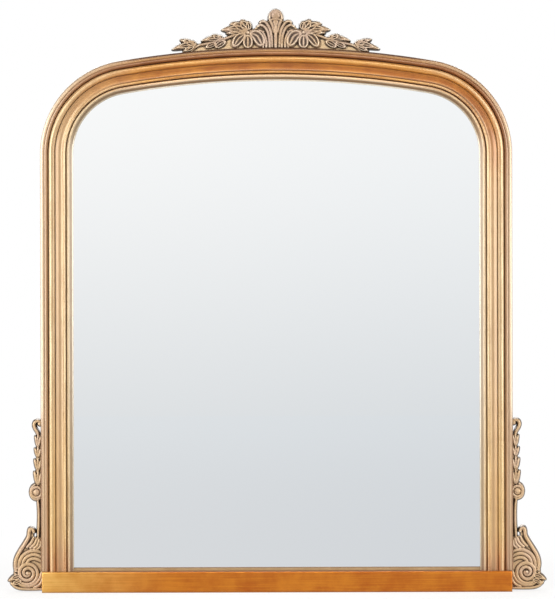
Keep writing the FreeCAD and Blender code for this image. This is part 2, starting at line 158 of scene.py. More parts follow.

# %% [markdown]
# ## What the gilder did across the section, and where light and shade are painted
# A gilder leaves brown glaze in the quirks, rubs the beads bright and wipes the edges, and the finish also
# paints shade into the quirks, on the inner lip and by the scrolls and the crest, and paints highlights on
# the beads, the outer arris and the sight edge, so it has to know where on the section it is. A picture
# could be painted and unwrapped, but the section repeats along the whole frame, so it is enough to mark its
# vertices
# once: every extrude and spin copies the marks. across is the way walked round the section. The two glaze
# marks hold the quirks on the stiles and on the crown, with glaze and painted shade; the rub mark holds the
# tops of the beads, worn and with a painted highlight; band and cove mark those two runs; the edge mark
# holds the outer arris, with a painted highlight on the stiles and a painted shadow by the scrolls and under
# the crest; the lip mark holds the inner arris, in painted shade; and the sight mark holds the last bit
# before the glass, with a painted highlight on the crown and painted shade on the stiles. A quirk has two
# weights, one for each glaze mark.

# %% Mark the section
# Each weight stands for glaze and painted shade together. The crown column is deeper, as painted shade. The
# rows at 0.378 and 0.408 paint dark lines of shade across the high bead's top on the stiles, and the row at
# 0.688 paints one between the cove and the small bead on the crown.
quirk_shares = [
    (0.254, 0.20, 0.85, 1.2),
    (0.467, 0.67, 0.53, 0.28),
    (0.791, 0.49, 0.56, 1.0),
    (0.130, 0.415, 0.34, 0.25),
    (0.378, 0.995, 0.30, 0.0),
    (0.408, 0.970, 0.27, 0.0),
    (0.688, 0.630, 0.0, 0.65),
]
quirk_reach = 0.0021
# The rub mark: worn gilding with a painted highlight on the beads and a little on the outer band.
bead_highlight_shares = [(0.33, 0.98), (0.70, 0.66), (0.742, 0.79), (0.856, 0.63), (0.05, 0.42)]
bead_highlight_reach = 0.0034
# The edge mark: the outer arris, painted with a highlight on the stiles and with shadow by the scrolls and
# under the crest.
lit_and_shaded_edge_shares = [(0.0, 0.06), (0.006, 0.22), (0.016, 0.35), (0.036, 0.39)]
lit_and_shaded_edge_reach = 0.0022
# The lip mark: the inner arris by the glass, darkened as painted shade.
lip_shade_shares = [(0.897, 0.51), (0.92, 0.47), (0.94, 0.43), (0.96, 0.37)]
lip_shade_reach = 0.0013
# The sight mark: the inner bead and the last bit before the glass, painted pale as a highlight on the crown
# and darker as shade on the stiles.
sight_light_and_shade_shares = [
    (0.845, 0.62, 0.4), (0.875, 0.60, 0.4), (0.978, 0.28), (0.988, 0.22), (1.0, 0.13), (1.0, 0.0),
]
sight_light_and_shade_reach = 0.0016
band_end = 0.247
cove_middle = 0.585
cove_half = 0.115


def nearness(point, shares, reach, column=2):
    """How close a point of the section is to a listed place, times the weight in that column."""
    near = 0.0
    for share in shares:
        gap = (point - section_point(share)).length / reach
        weight = share[column] if len(share) > column else 1.0
        near = max(near, weight * math.exp(-gap * gap))
    return near


def marks(point):
    share = point.x / moulding_width
    return {
        "glaze_and_shade": nearness(point, quirk_shares, quirk_reach, 2),
        "crown_glaze_and_shade": nearness(point, quirk_shares, quirk_reach, 3),
        "rub_and_highlight": nearness(point, bead_highlight_shares, bead_highlight_reach),
        "band": 1.0 if share < band_end else 0.0,
        "cove": max(0.0, 1 - ((share - cove_middle) / cove_half) ** 2),
        "edge": nearness(point, lit_and_shaded_edge_shares, lit_and_shaded_edge_reach),
        "lip_shade": nearness(point, lip_shade_shares, lip_shade_reach),
        "sight_light_and_shade": nearness(point, sight_light_and_shade_shares, sight_light_and_shade_reach),
    }


def start_section(z):
    """A loop of vertices round the section at one height, with its marks."""
    bm = bmesh.new()
    layers = {name: bm.verts.layers.float.new(name) for name in ("across", "along", *marks(outline[0]))}
    walked = 0.0
    verts = []
    for i, point in enumerate(outline):
        walked += (point - outline[i - 1]).length if i else 0.0
        vert = bm.verts.new((outer_x + point.x, back_y - point.y, z))
        for name, value in {"across": walked, **marks(point)}.items():
            vert[layers[name]] = value
        verts.append(vert)
    for a, b in zip(verts, verts[1:] + verts[:1]):
        bm.edges.new((a, b))
    return bm


print("section marked with", ", ".join(marks(outline[0])))

# %% [markdown]
# ## Stiles and arch
# The real stiles and the two halves of the arch are separate lengths, joined at the springing and in the
# middle of the crown. A stile is the section pulled straight up: one extrude. The arch could follow a curve
# object, but it is made of true circles, so two spins are exact: first about the shoulder's centre and
# then, from where that ends, about the crown's centre far below. The value along then tells a finish how
# far up the frame it is.

# %% Sweep the section
crown_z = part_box("arch_left")[1].z
crown_radius = 1.6
shoulder_radius = 0.159
shoulder_centre = Vector((outer_x + shoulder_radius, 0, springing_z))
crown_centre = Vector((0, 0, crown_z - crown_radius))
crown_angle = math.asin(-shoulder_centre.x / (crown_radius - shoulder_radius))
shoulder_angle = math.pi / 2 - crown_angle
shoulder_steps = 56
crown_steps = 36
middle_radius = shoulder_radius - moulding_width / 2


def set_along(bm):
    """Length along the moulding: up the stile, round the shoulder, then over the crown."""
    along = bm.verts.layers.float["along"]
    for vert in bm.verts:
        arm = vert.co - shoulder_centre
        turn = math.atan2(arm.z, -arm.x)
        if arm.z <= 0:
            vert[along] = vert.co.z
        elif turn <= shoulder_angle:
            vert[along] = springing_z + turn * middle_radius
        else:
            rest = crown_angle - math.atan2(-vert.co.x, vert.co.z - crown_centre.z)
            vert[along] = springing_z + shoulder_angle * middle_radius + rest * crown_radius


def verts_of(geom):
    """The vertices among what an operator returns."""
    return [g for g in geom if isinstance(g, bmesh.types.BMVert)]


def close_ends(bm):
    bmesh.ops.holes_fill(bm, edges=[e for e in bm.edges if e.is_boundary], sides=0)


def make_stile():
    bm = start_section(rail_top_z)
    pulled = bmesh.ops.extrude_edge_only(bm, edges=bm.edges[:])["geom"]
    bmesh.ops.translate(bm, vec=(0, 0, springing_z - rail_top_z), verts=verts_of(pulled))
    close_ends(bm)
    set_along(bm)
    return make_piece(bm, "moulding_stile_left", ["stile_left"])


def make_half_arch():
    bm = start_section(springing_z)
    turns = [(shoulder_centre, shoulder_angle, shoulder_steps), (crown_centre, crown_angle, crown_steps)]
    last = bm.verts[:] + bm.edges[:]
    for centre, angle, steps in turns:
        spun = bmesh.ops.spin(bm, geom=last, cent=centre, axis=(0, 1, 0), angle=angle, steps=steps)
        last = spun["geom_last"]
    close_ends(bm)
    set_along(bm)
    return make_piece(bm, "moulding_arch_left", ["arch_left"])


stile_left = make_stile()
stile_right = mirrored_copy(stile_left, "moulding_stile_right", ["stile_right"])
arch_left = make_half_arch()
arch_right = mirrored_copy(arch_left, "moulding_arch_right", ["arch_right"])
mouldings = [stile_left, stile_right, arch_left, arch_right]
print("arch reaches z", round(max(v.co.z for v in arch_left.data.vertices), 4), "of", round(crown_z, 4))

# %% [markdown]
# ## The plinth rail
# The rail is a plain bar, square to the eye, yet its front edges are eased and catch a thin line of light.
# It starts as a cube with its front edges bevelled. A boolean could cut the rebate behind, but it leaves
# long thin faces. Instead, cuts mark the rebate out, the faces inside the marks are deleted, and its floor,
# wall and ends are filled in. Two more cuts give the painted shade a place to end, at the foot and behind
# the top edge.

# %% Shape the rail
rail_low, rail_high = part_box("base_rail")
rail_seat_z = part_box("glass_setting_blocks")[0].z
glass_y = back_y - glass_front
rail_ease = 0.0024
rail_shade = 0.0045
rail_foot_shade = 0.0065
rail_top_painted_shade = 0.6
rail_foot_painted_shade = 0.4
glue_line = 0.0002


def solid_box(bm, middle, size):
    shape = Matrix.Translation(middle) @ Matrix.Diagonal((*size, 1))
    return bmesh.ops.create_cube(bm, size=1, matrix=shape)["verts"]


def round_edges(bm, edges, offset, segments):
    bmesh.ops.bevel(
        bm, geom=edges, offset=offset, segments=segments, profile=0.5, affect="EDGES", material=-1
    )


def cut_plane(bm, point, normal):
    bmesh.ops.bisect_plane(bm, geom=bm.verts[:] + bm.edges[:] + bm.faces[:], plane_co=point, plane_no=normal)


def cut_rebate(bm):
    """Takes the rebate for the glass out of the back of the rail."""
    wall_x = -outer_x - rebate_wall
    for side in (-1, 1):
        cut_plane(bm, (side * wall_x, 0, 0), (1, 0, 0))
    cut_plane(bm, (0, glass_y, 0), (0, 1, 0))
    cut_plane(bm, (0, 0, rail_seat_z), (0, 0, 1))
    middles = {f: f.calc_center_median() for f in bm.faces}
    inside = [
        f for f, c in middles.items()
        if abs(c.x) < wall_x
        and (f.normal.z > 0.9 and c.y > glass_y or f.normal.y > 0.9 and c.z > rail_seat_z)
    ]
    bmesh.ops.delete(bm, geom=inside, context="FACES")
    left, right = [bm.verts.new((side * wall_x, glass_y, rail_seat_z)) for side in (-1, 1)]

    def at(x, y, z):
        return min(bm.verts, key=lambda v: (v.co - Vector((x, y, z))).length)

    rebate_floor = [at(-wall_x, back_y, rail_seat_z), at(wall_x, back_y, rail_seat_z), right, left]
    rebate_front = [at(-wall_x, glass_y, rail_high.z), at(wall_x, glass_y, rail_high.z), right, left]
    loops = [rebate_floor, rebate_front]
    for corner in (left, right):
        x = corner.co.x
        end = [at(x, back_y, rail_seat_z), at(x, back_y, rail_high.z), at(x, glass_y, rail_high.z)]
        loops.append([corner] + end)
    for loop in loops:
        bmesh.ops.contextual_create(bm, geom=loop)


def make_rail():
    bm = bmesh.new()
    solid_box(bm, (rail_low + rail_high) / 2, rail_high - rail_low)
    front = [e for e in bm.edges if all(v.co.y < rail_low.y + rail_ease for v in e.verts)]
    round_edges(bm, front, rail_ease, 5)
    cut_rebate(bm)
    cut_plane(bm, (0, rail_low.y + rail_shade, 0), (0, 1, 0))
    cut_plane(bm, (0, 0, rail_foot_shade), (0, 0, 1))
    names = ("along", "across", "glaze_and_shade", "crown_glaze_and_shade")
    along, across, glaze_and_shade, crown_glaze_and_shade = [bm.verts.layers.float.new(n) for n in names]
    for vert in bm.verts:
        vert[along] = vert.co.x
        vert[across] = vert.co.z - vert.co.y
        # Painted shade: along the top behind the front edge, and fading up from the foot.
        on_top = vert.co.z > rail_high.z - glue_line and vert.co.y > rail_low.y + rail_ease + glue_line
        foot = max(0.0, 1 - vert.co.z / rail_foot_shade) * rail_foot_painted_shade
        vert[glaze_and_shade] = rail_top_painted_shade if on_top else foot
        vert[crown_glaze_and_shade] = vert[glaze_and_shade]
    return make_piece(bm, "plinth_rail", ["base_rail"])


rail = make_rail()

# %% [markdown]
# ## The slip
# A thin slip lies on the rail against the glass and hides the glass's lower edge. It could be one more step
# of the rail's own shape, but on the frame it is a loose strip, so it is a piece of its own: a bar whose
# front upper edge is rounded. Both its edges are painted darker as painted shade, and its face a little.

# %% Lay the slip
slip_height = 0.0060
slip_depth = 0.0030
slip_half = -outer_x - moulding_width
slip_shade = 0.0012
slip_along = 0.5
slip_edge_painted_shade = 0.5
slip_face_painted_shade = 0.1


def make_slip():
    bm = bmesh.new()
    middle = Vector((0, glass_y - slip_depth / 2, rail_high.z + slip_height / 2))
    solid_box(bm, middle, (2 * slip_half, slip_depth, slip_height))
    edge = [e for e in bm.edges if all(v.co.y < glass_y - slip_shade and v.co.z > middle.z for v in e.verts)]
    round_edges(bm, edge, slip_depth / 2, 4)
    cut_plane(bm, (0, 0, rail_high.z + slip_shade), (0, 0, 1))
    along, across, glaze_and_shade = [bm.verts.layers.float.new(n) for n in ("along", "across", "glaze_and_shade")]
    for vert in bm.verts:
        vert[along] = slip_along
        vert[across] = vert.co.z - vert.co.y
        # Painted shade along both edges, and a little on the face.
        rise = (vert.co.z - rail_high.z) / slip_height
        vert[glaze_and_shade] = slip_edge_painted_shade if rise < 0.1 or rise > 0.8 else slip_face_painted_shade
    return make_piece(bm, "rail_slip")


slip = make_slip()

# %% [markdown]
# ## How the carving is laid out
# The crest and the scrolls are castings of carved leaves. They could be sculpted with a brush, but then no
# number could be changed later. A carver lays the work out on paper first, so each strand and each leaf
# here is a short list of points on the photograph, turned into metres by the scale of the frame. Two
# functions keep the clay off the frame that carries it.

# %% Lay out on the photograph
photo_axis_px = 276.4
photo_crown_px = 47.4
photo_foot_px = 591.3
photo_stile_px = 40.3
metres_per_px = -outer_x / (photo_axis_px - photo_stile_px)
casting_ground = 0.011
casting_foot_z = 0.0012


def crest_at(point):
    x = (point[0] - photo_axis_px) * metres_per_px
    return Vector((x, crown_z + (photo_crown_px - point[1]) * metres_per_px))


def scroll_at(point):
    x = outer_x + (point[0] - photo_stile_px) * metres_per_px
    return Vector((x, (photo_foot_px - point[1]) * metres_per_px))


def seat_on_crown(place):
    """Keeps a point of the crest above the crown."""
    arm = Vector((place.x, place.y - crown_centre.z))
    low = crown_radius + glue_line
    return place if arm.length > low else Vector((0, crown_centre.z)) + arm.normalized() * low


def seat_by_frame(place):
    """Keeps a point of the left scroll outside the stile, or outside the rail's end where that is lower."""
    edge = outer_x if place.y > rail_high.z - glue_line else rail_low.x
    return Vector((min(place.x, edge - glue_line), max(place.y, casting_foot_z)))


# %% [markdown]
# ## Clay along a spine
# A smooth curve through the points is the spine of a strand or leaf. A grid is bent along the spine and
# closed by an extrude that pulls its front forward by the strand's own relief. A curve with a bevel would
# be round all over, while the grid can be a rope, a dished leaf or a boss. Overlapping closed strands are
# the carver's clay, which one voxel remesh later fuses into a single skin.

# %% Bend a grid along a spine
class Spine:
    """A smooth curve through flat points, read by its share of length."""

    def __init__(self, points, spans=14):
        ends = [points[0] * 2 - points[1]] + points + [points[-1] * 2 - points[-2]]
        self.line = []
        for before, a, b, after in zip(ends, ends[1:], ends[2:], ends[3:]):
            self.line += interpolate_bezier(a, a + (b - before) / 6, b - (after - a) / 6, b, spans)[:-1]
        self.line.append(points[-1])
        self.walked = [0.0]
        for a, b in zip(self.line, self.line[1:]):
            self.walked.append(self.walked[-1] + (b - a).length)
        self.length = self.walked[-1]

    def at(self, share):
        """The point there and the direction to its left."""
        goal = share * self.length
        i = 0
        while i < len(self.line) - 2 and self.walked[i + 1] < goal:
            i += 1
        step = self.line[i + 1] - self.line[i]
        part = (goal - self.walked[i]) / max(step.length, 1e-9)
        heading = step.normalized()
        return self.line[i] + step * part, Vector((-heading.y, heading.x))


class Carving:
    """Clay laid out in pixels: at(pixel) gives its place, and seat(place) keeps it off the frame."""

    def __init__(self, at, seat):
        self.bm = bmesh.new()
        self.at = at
        self.seat = seat

    def spine(self, points):
        return Spine([self.at(p) for p in points])

    def bend(self, spine, half, depth, steps, across):
        """One closed strand: half(s) is its half width and depth(s, t) how far forward it stands."""
        grid = bmesh.ops.create_grid(self.bm, x_segments=steps, y_segments=across, size=0.5)["verts"]
        faces = list({f for v in grid for f in v.link_faces})
        fronts = {}
        for vert in grid:
            s = vert.co.x + 0.5
            t = 2 * vert.co.y
            centre, left = spine.at(s)
            flat = self.seat(centre + left * (t * half(s)))
            vert.co = (flat.x, back_y, flat.y)
            fronts[vert.co.to_tuple(7)] = back_y - depth(s, t)
        pulled = bmesh.ops.extrude_face_region(self.bm, geom=faces, use_keep_orig=True)["geom"]
        for vert in verts_of(pulled):
            vert.co.y = fronts[vert.co.to_tuple(7)]

    def plate(self, points, depth):
        """A flat ground inside an outline."""
        corners = [self.seat(self.at(p)) for p in points]
        verts = [self.bm.verts.new((p.x, back_y, p.y)) for p in corners]
        edges = [self.bm.edges.new(pair) for pair in zip(verts, verts[1:] + verts[:1])]
        filled = bmesh.ops.triangle_fill(self.bm, edges=edges, use_beauty=True, use_dissolve=False)["geom"]
        faces = [g for g in filled if isinstance(g, bmesh.types.BMFace)]
        pulled = bmesh.ops.extrude_face_region(self.bm, geom=faces, use_keep_orig=True)["geom"]
        bmesh.ops.translate(self.bm, vec=(0, -depth, 0), verts=verts_of(pulled))


# %% Strands, leaves and bosses
strand_step = 0.0012
strand_across = 10
leaf_grid = (36, 24)
leaf_root = 0.42
leaf_rim = (0.72, 0.16)
leaf_vein = (0.8, 0.14)
leaf_floor = 0.5
boss_grid = (24, 18)


def strand(carving, points, half_px, rise, taper=0.35):
    """A round rope that thins towards both ends."""
    spine = carving.spine(points)
    half = half_px * metres_per_px

    def thin(s):
        return 1 - taper * (2 * s - 1) ** 4

    def depth_at(s, t):
        return casting_ground + rise * math.sqrt(max(0.0, 1 - t * t)) * thin(s)

    steps = max(10, int(spine.length / strand_step))
    carving.bend(spine, lambda s: half * thin(s), depth_at, steps, strand_across)


def leaf(carving, points, half_px, rise, tip):
    """A dished leaf: a raised rim all round, a hollow inside it and a vein along the middle."""
    spine = carving.spine(points)
    half = half_px * metres_per_px
    rim_at, rim_width = leaf_rim
    vein_rise, vein_width = leaf_vein
    widest = leaf_root / (leaf_root + tip)
    full = widest ** leaf_root * (1 - widest) ** tip

    def swell(s):
        return min(1.0, max(0.03, s ** leaf_root * (1 - s) ** tip / full))

    def depth_at(s, t):
        out = math.sqrt(max(0.0, 1 - swell(s) ** 2 * (1 - t * t)))
        rim = math.exp(-((out - rim_at) / rim_width) ** 2)
        vein = math.exp(-((t * swell(s)) / vein_width) ** 2) * vein_rise
        edge = math.sqrt(max(0.0, 1 - out ** 6))
        return casting_ground + rise * edge * min(1.0, leaf_floor + (1 - leaf_floor) * max(rim, vein))

    carving.bend(spine, lambda s: half * swell(s), depth_at, *leaf_grid)


def dome(carving, centre_px, radius_px, rise):
    """A round boss, made as a short strand as wide as it is long."""
    centre = carving.at(centre_px)
    radius = radius_px * metres_per_px
    spine = Spine([centre - Vector((radius, 0)), centre, centre + Vector((radius, 0))])

    def half_at(s):
        return radius * math.sqrt(max(0.002, 1 - (2 * s - 1) ** 2))

    def depth_at(s, t):
        return casting_ground + rise * half_at(s) / radius * math.sqrt(max(0.0, 1 - t * t))

    carving.bend(spine, half_at, depth_at, *boss_grid)


# %% [markdown]
# ## Casting the carving
# The real ornaments are cast in one piece, with soft fillets where leaves cross. Boolean unions would leave
# hard seams there, so a voxel remesh fuses the clay. Gilders wipe a brown wash over such a casting and rub
# the high places clean, and the finish adds painted shade to the hollows and walls and a painted highlight
# to the ridges. To know high from low, the skin is relaxed for a few rounds: where a vertex moves outwards
# it lay in a hollow, and where it moves inwards it was a ridge. Both are kept as attributes, and so is how
# steep the skin stands, because the wash and the painted shade also stay on walls. Then every vertex goes
# back to
# its place. Last, the walls get draft: a casting widens towards its back, or it would not leave its mould.

# %% Fuse the clay into one skin
skin_ease = 0.3
hollow_reach = 0.0008
hollow_rounds = 16
draft = 0.0020


def fused(bm, voxel):
    """One closed skin round all the strands of a bmesh."""
    bmesh.ops.recalc_face_normals(bm, faces=bm.faces[:])
    clay = bpy.data.meshes.new("clay")
    bm.to_mesh(clay)
    bm.free()
    rough = bpy.data.objects.new("clay", clay)
    bpy.context.scene.collection.objects.link(rough)
    remesh = rough.modifiers.new("fuse", "REMESH")
    remesh.mode = "VOXEL"
    remesh.voxel_size = voxel
    found = bpy.data.meshes.new_from_object(rough.evaluated_get(bpy.context.evaluated_depsgraph_get()))
    bpy.data.objects.remove(rough)
    skin = bmesh.new()
    skin.from_mesh(found)
    bpy.data.meshes.remove(found)
    return skin


def relax(bm, factor):
    bmesh.ops.smooth_vert(
        bm, verts=bm.verts[:], factor=factor, use_axis_x=True, use_axis_y=True, use_axis_z=True
    )


def mark_hollows(bm):
    """Stores how hollow, how ridged and how steep the skin is at each vertex, from 0 to 1."""
    hollow, ridge, steep = [bm.verts.layers.float.new(n) for n in ("hollow", "ridge", "steep")]
    bm.normal_update()
    places = [v.co.copy() for v in bm.verts]
    normals = [v.normal.copy() for v in bm.verts]
    for _ in range(hollow_rounds):
        relax(bm, 0.5)
    for vert, place, normal in zip(bm.verts, places, normals):
        lift = (vert.co - place).dot(normal) / hollow_reach
        vert[hollow] = min(1.0, max(0.0, lift))
        vert[ridge] = min(1.0, max(0.0, -lift))
        vert[steep] = 1 - abs(normal.y)
        vert.co = place


def draw_walls(bm, seat):
    """Spreads the skin behind its ground, so that the outer walls slope as a mould needs them to."""
    bm.normal_update()
    for vert in bm.verts:
        behind = 1 - min(1.0, (back_y - vert.co.y) / casting_ground)
        out = Vector((vert.normal.x, vert.normal.z)) * (draft * behind)
        place = seat(Vector((vert.co.x, vert.co.z)) + out)
        vert.co = (place.x, vert.co.y, place.y)


def cast(carving, voxel, name, replaced):
    skin = fused(carving.bm, voxel)
    relax(skin, skin_ease)
    mark_hollows(skin)
    draw_walls(skin, carving.seat)
    return make_piece(skin, name, [replaced], sharp_degrees=180)


# %% [markdown]
# ## The crest
# A knob over a palmette stands in the middle. On each side an arm leads to a spray of broad leaves, and a
# stem with smaller leaves trails down along the crown. Both halves could be drawn, but a carver turns the
# paper over: only the left half is laid out, and bmesh.ops.mirror makes the other one before the clay is
# fused. A row of leaves is points from root to tip, half the width in pixels, and how slender the tip is.

# %% Lay out the crest
crest_leaves_px = [
    ([(249.0, 31.6), (236.0, 28.6), (222.0, 29.4)], 4.5, 0.75),
    ([(246.0, 32.8), (236.0, 32.2), (226.4, 32.6)], 2.4, 0.60),
    ([(248.4, 31.0), (239.2, 25.2), (230.6, 23.2)], 4.5, 0.65),
    ([(248.6, 31.0), (245.2, 25.0), (240.8, 19.6)], 4.8, 0.50),
    ([(249.0, 30.0), (249.2, 25.0), (247.6, 20.6)], 3.4, 0.50),
    ([(247.6, 32.4), (239.6, 38.0), (233.6, 47.4)], 5.4, 0.40),
    ([(248.0, 33.0), (248.6, 40.0), (248.4, 48.4)], 5.8, 0.34),
    ([(248.6, 32.4), (257.8, 35.6), (263.6, 46.6)], 6.4, 0.36),
    ([(222.6, 39.4), (213.0, 37.9), (201.8, 40.4)], 3.0, 0.75),
    ([(222.0, 38.8), (217.4, 36.4), (212.2, 34.8)], 2.8, 0.60),
    ([(223.0, 39.0), (221.0, 36.8), (218.0, 34.8)], 2.2, 0.60),
    ([(217.6, 42.2), (211.4, 44.8), (205.6, 47.4)], 2.9, 0.45),
    ([(227.0, 40.4), (220.6, 43.8), (215.2, 47.4)], 3.6, 0.42),
    ([(197.4, 44.4), (185.0, 45.2), (172.2, 49.0)], 3.6, 0.85),
    ([(196.0, 44.2), (188.6, 41.4), (180.4, 39.0)], 3.0, 0.70),
    ([(195.6, 45.2), (189.0, 48.4), (183.4, 51.0)], 2.8, 0.60),
    ([(197.6, 44.0), (193.0, 41.8), (188.0, 40.0)], 2.2, 0.60),
]
crest_leaf_rise = 0.0062
crest_strands_px = [
    (
        [
            (247.0, 32.0), (238.0, 33.8), (230.0, 36.6), (222.0, 39.4), (214.0, 41.8), (205.0, 43.6),
            (199.0, 45.0), (195.0, 47.6), (191.4, 51.8),
        ],
        1.6,
    ),
    ([(249.0, 31.0), (256.0, 30.4), (265.0, 31.2)], 1.5),
    ([(273.0, 47.0), (271.8, 33.0), (269.6, 26.4), (266.2, 21.8), (262.6, 20.9), (260.2, 22.9)], 1.75),
    ([(270.4, 49.6), (270.2, 40.0), (268.6, 32.0), (265.4, 26.6), (261.2, 24.7), (257.4, 26.6)], 1.75),
    ([(266.8, 49.6), (266.9, 41.6), (265.2, 35.0), (262.0, 30.6), (258.4, 29.6)], 1.65),
    ([(263.6, 49.6), (264.2, 43.6), (263.6, 38.4)], 1.2),
    ([(275.0, 33.0), (273.8, 26.4), (271.4, 20.8), (270.3, 16.8)], 1.9),
]
crest_strand_rise = 0.0048
crest_spine_px = [(276.4, 49.6), (276.4, 37.0), (276.4, 22.0)]
crest_spine_half_px = 2.1
crest_bud_px = [(276.4, 28.0), (276.4, 21.0), (276.4, 14.8)]
crest_bud_half_px = 4.0
crest_knob_px = (276.4, 14.2)
crest_knob_radius_px = 5.6
crest_knob_rise = 0.0068
crest_cap_px = [
    (270.2, 19.0), (270.6, 15.2), (272.0, 12.2), (274.0, 10.5), (276.4, 10.0), (278.8, 10.5), (280.8, 12.2),
    (282.2, 15.2), (282.6, 19.0),
]
crest_cap_half_px = 1.5
crest_collar_px = [(270.2, 20.2), (273.2, 19.0), (276.4, 18.6), (279.6, 19.0), (282.6, 20.2)]
crest_cap_rise = 0.0054
crest_heart_px = (248.4, 32.0)
crest_heart_radius_px = 2.3
crest_ground_px = [
    (190.6, 53.0), (195.2, 47.0), (203.0, 44.2), (214.0, 42.4), (226.0, 38.8), (236.0, 35.0), (243.0, 31.6),
    (249.5, 28.4), (254.4, 28.8), (257.8, 26.0), (262.0, 22.6), (266.0, 21.6), (269.4, 20.4), (271.6, 16.4),
    (276.4, 14.0),
]
crest_foot_px = [(276.4, 60), (262, 60), (246, 60), (230, 60), (214, 60), (190, 60)]
spray_ground_px = [
    (225.0, 30.0), (232.0, 26.6), (238.0, 23.4), (243.0, 21.6), (246.8, 22.4), (249.2, 26.0), (250.4, 29.4),
    (247.0, 33.4), (238.0, 33.2), (230.0, 32.4),
]
crest_voxel = 0.00072
print("crest has", len(crest_leaves_px), "leaves on each side")

# %% Carve the crest
bud_taper = 0.6
cap_taper = 0.1


def carve_crest():
    clay = Carving(crest_at, seat_on_crown)
    clay.plate(crest_ground_px + crest_foot_px, casting_ground)
    clay.plate(spray_ground_px, casting_ground)
    for points, half, tip in crest_leaves_px:
        leaf(clay, points, half, crest_leaf_rise, tip)
    for points, half in crest_strands_px:
        strand(clay, points, half, crest_strand_rise)
    dome(clay, crest_heart_px, crest_heart_radius_px, crest_leaf_rise)
    left_half = clay.bm.verts[:] + clay.bm.edges[:] + clay.bm.faces[:]
    bmesh.ops.mirror(clay.bm, geom=left_half, axis="X", merge_dist=0)
    strand(clay, crest_spine_px, crest_spine_half_px, crest_leaf_rise)
    strand(clay, crest_bud_px, crest_bud_half_px, crest_strand_rise, bud_taper)
    dome(clay, crest_knob_px, crest_knob_radius_px, crest_knob_rise)
    for points in (crest_cap_px, crest_collar_px):
        strand(clay, points, crest_cap_half_px, crest_cap_rise, cap_taper)
    return cast(clay, crest_voxel, "crest_carving", "crest_ornament")


crest = carve_crest()

# %% [markdown]
# ## The side scrolls
# Each scroll is a drop of bellflowers under a small curl, a rosette, a thin stem and a broad volute at the
# foot. The volute and the rosette could be lists of points too, but a spiral is a formula: its radius falls
# evenly with the turn, and a ring is a spiral that doesn't fall. The rest follows points as the crest does.
# The right scroll is the left one mirrored.

# %% Lay out the scrolls
scroll_strands_px = [
    (
        [
            (40.4, 422.6), (39.0, 420.9), (36.6, 420.6), (34.3, 421.9), (33.5, 424.8), (34.6, 428.2),
            (36.6, 431.6), (38.2, 436.4),
        ],
        1.7,
    ),
    ([(37.0, 499.0), (37.8, 506.0), (38.2, 516.0), (37.8, 527.0), (37.2, 539.0)], 1.5),
    ([(34.6, 483.6), (31.2, 486.8), (29.9, 491.6), (31.2, 496.6), (35.2, 499.2), (40.0, 497.6)], 1.3),
    ([(25.4, 547.4), (30.4, 542.2), (33.2, 536.4)], 1.7),
    ([(28.8, 548.0), (33.8, 543.4), (36.4, 537.6)], 1.7),
    ([(32.4, 548.4), (36.8, 544.6), (38.8, 538.4)], 1.7),
    ([(36.0, 548.8), (39.4, 546.0), (40.6, 540.0)], 1.6),
    (
        [
            (42.0, 553.0), (37.6, 551.0), (31.6, 550.2), (26.0, 552.0), (21.2, 556.0), (18.4, 561.8),
            (17.4, 568.6),
        ],
        2.0,
    ),
    ([(42.0, 557.4), (37.0, 554.9), (31.6, 554.2), (26.8, 556.0), (23.2, 559.6), (21.2, 564.6)], 1.9),
    ([(42.0, 562.0), (37.0, 559.0), (32.0, 558.2), (28.0, 559.8), (25.2, 563.0)], 1.9),
    (
        [
            (42.4, 566.4), (41.0, 572.0), (39.0, 578.0), (34.6, 583.0), (28.0, 585.6), (20.0, 584.4),
            (14.4, 579.4),
        ],
        1.9,
    ),
    ([(42.4, 574.0), (41.2, 580.0), (38.0, 584.8), (32.0, 587.2)], 1.7),
    ([(9.8, 581.8), (14.0, 586.2), (20.0, 588.2), (28.0, 588.8), (42.4, 588.6)], 1.5),
]
ribbon_px = [
    (33.2, 532.6), (32.0, 529.4), (29.4, 528.8), (28.4, 531.8), (27.8, 536.4), (24.0, 543.2), (19.4, 550.4),
    (15.7, 557.4), (14.3, 564.6), (15.0, 571.4),
]
ribbon_half_px = 2.1
scroll_leaves_px = [
    ([(20.5, 575.6), (14.0, 577.0), (7.0, 580.8)], 3.0, 0.8),
    ([(21.0, 580.0), (15.4, 582.0), (9.8, 584.4)], 2.8, 0.7),
]
scroll_rise = 0.0036
scroll_leaf_rise = 0.0046
husk_rows_px = [(434.2, 446.6, 2.9), (446.4, 456.6, 3.3), (457.4, 470.0, 3.6), (469.8, 484.6, 3.9)]
husk_axis_px = 37.5
curl_drop_px = (39.2, 423.4)
curl_drop_radius_px = 2.1
rosette_px = (35.7, 491.9)
rosette_ring_px = 5.3
rosette_half_px = 1.6
rosette_eye_px = 3.6
volute_eye_px = (26.6, 572.8)
volute_start_px = 12.2
volute_fall_px = 4.1
volute_turns = 2.6
volute_half_px = 2.0
scroll_ground_px = [
    (42.4, 589.6), (24.0, 589.8), (16.4, 588.6), (12.6, 585.8), (9.6, 582.0), (9.4, 579.6), (12.8, 575.0),
    (13.0, 570.6), (13.0, 563.4), (14.6, 557.4), (17.6, 551.6), (21.6, 545.0), (25.4, 539.4), (27.8, 533.4),
    (29.2, 529.4), (31.4, 529.8), (32.6, 532.4), (32.2, 536.6), (36.2, 537.0), (42.4, 537.4),
]
scroll_neck_px = [
    (42.4, 435.0), (37.0, 435.0), (36.0, 450.0), (35.4, 470.0), (35.0, 485.0), (31.6, 488.0), (30.8, 492.0),
    (32.4, 496.6), (36.0, 499.0), (42.4, 498.0),
]
stem_web_px = [(42.4, 496.0), (37.4, 498.0), (38.0, 516.0), (37.4, 540.0), (42.4, 540.0)]
stem_web_depth = 0.004
scroll_voxel = 0.00062
print("scroll has", len(husk_rows_px), "bellflowers")

# %% Carve the scrolls
ribbon_taper = 0.2


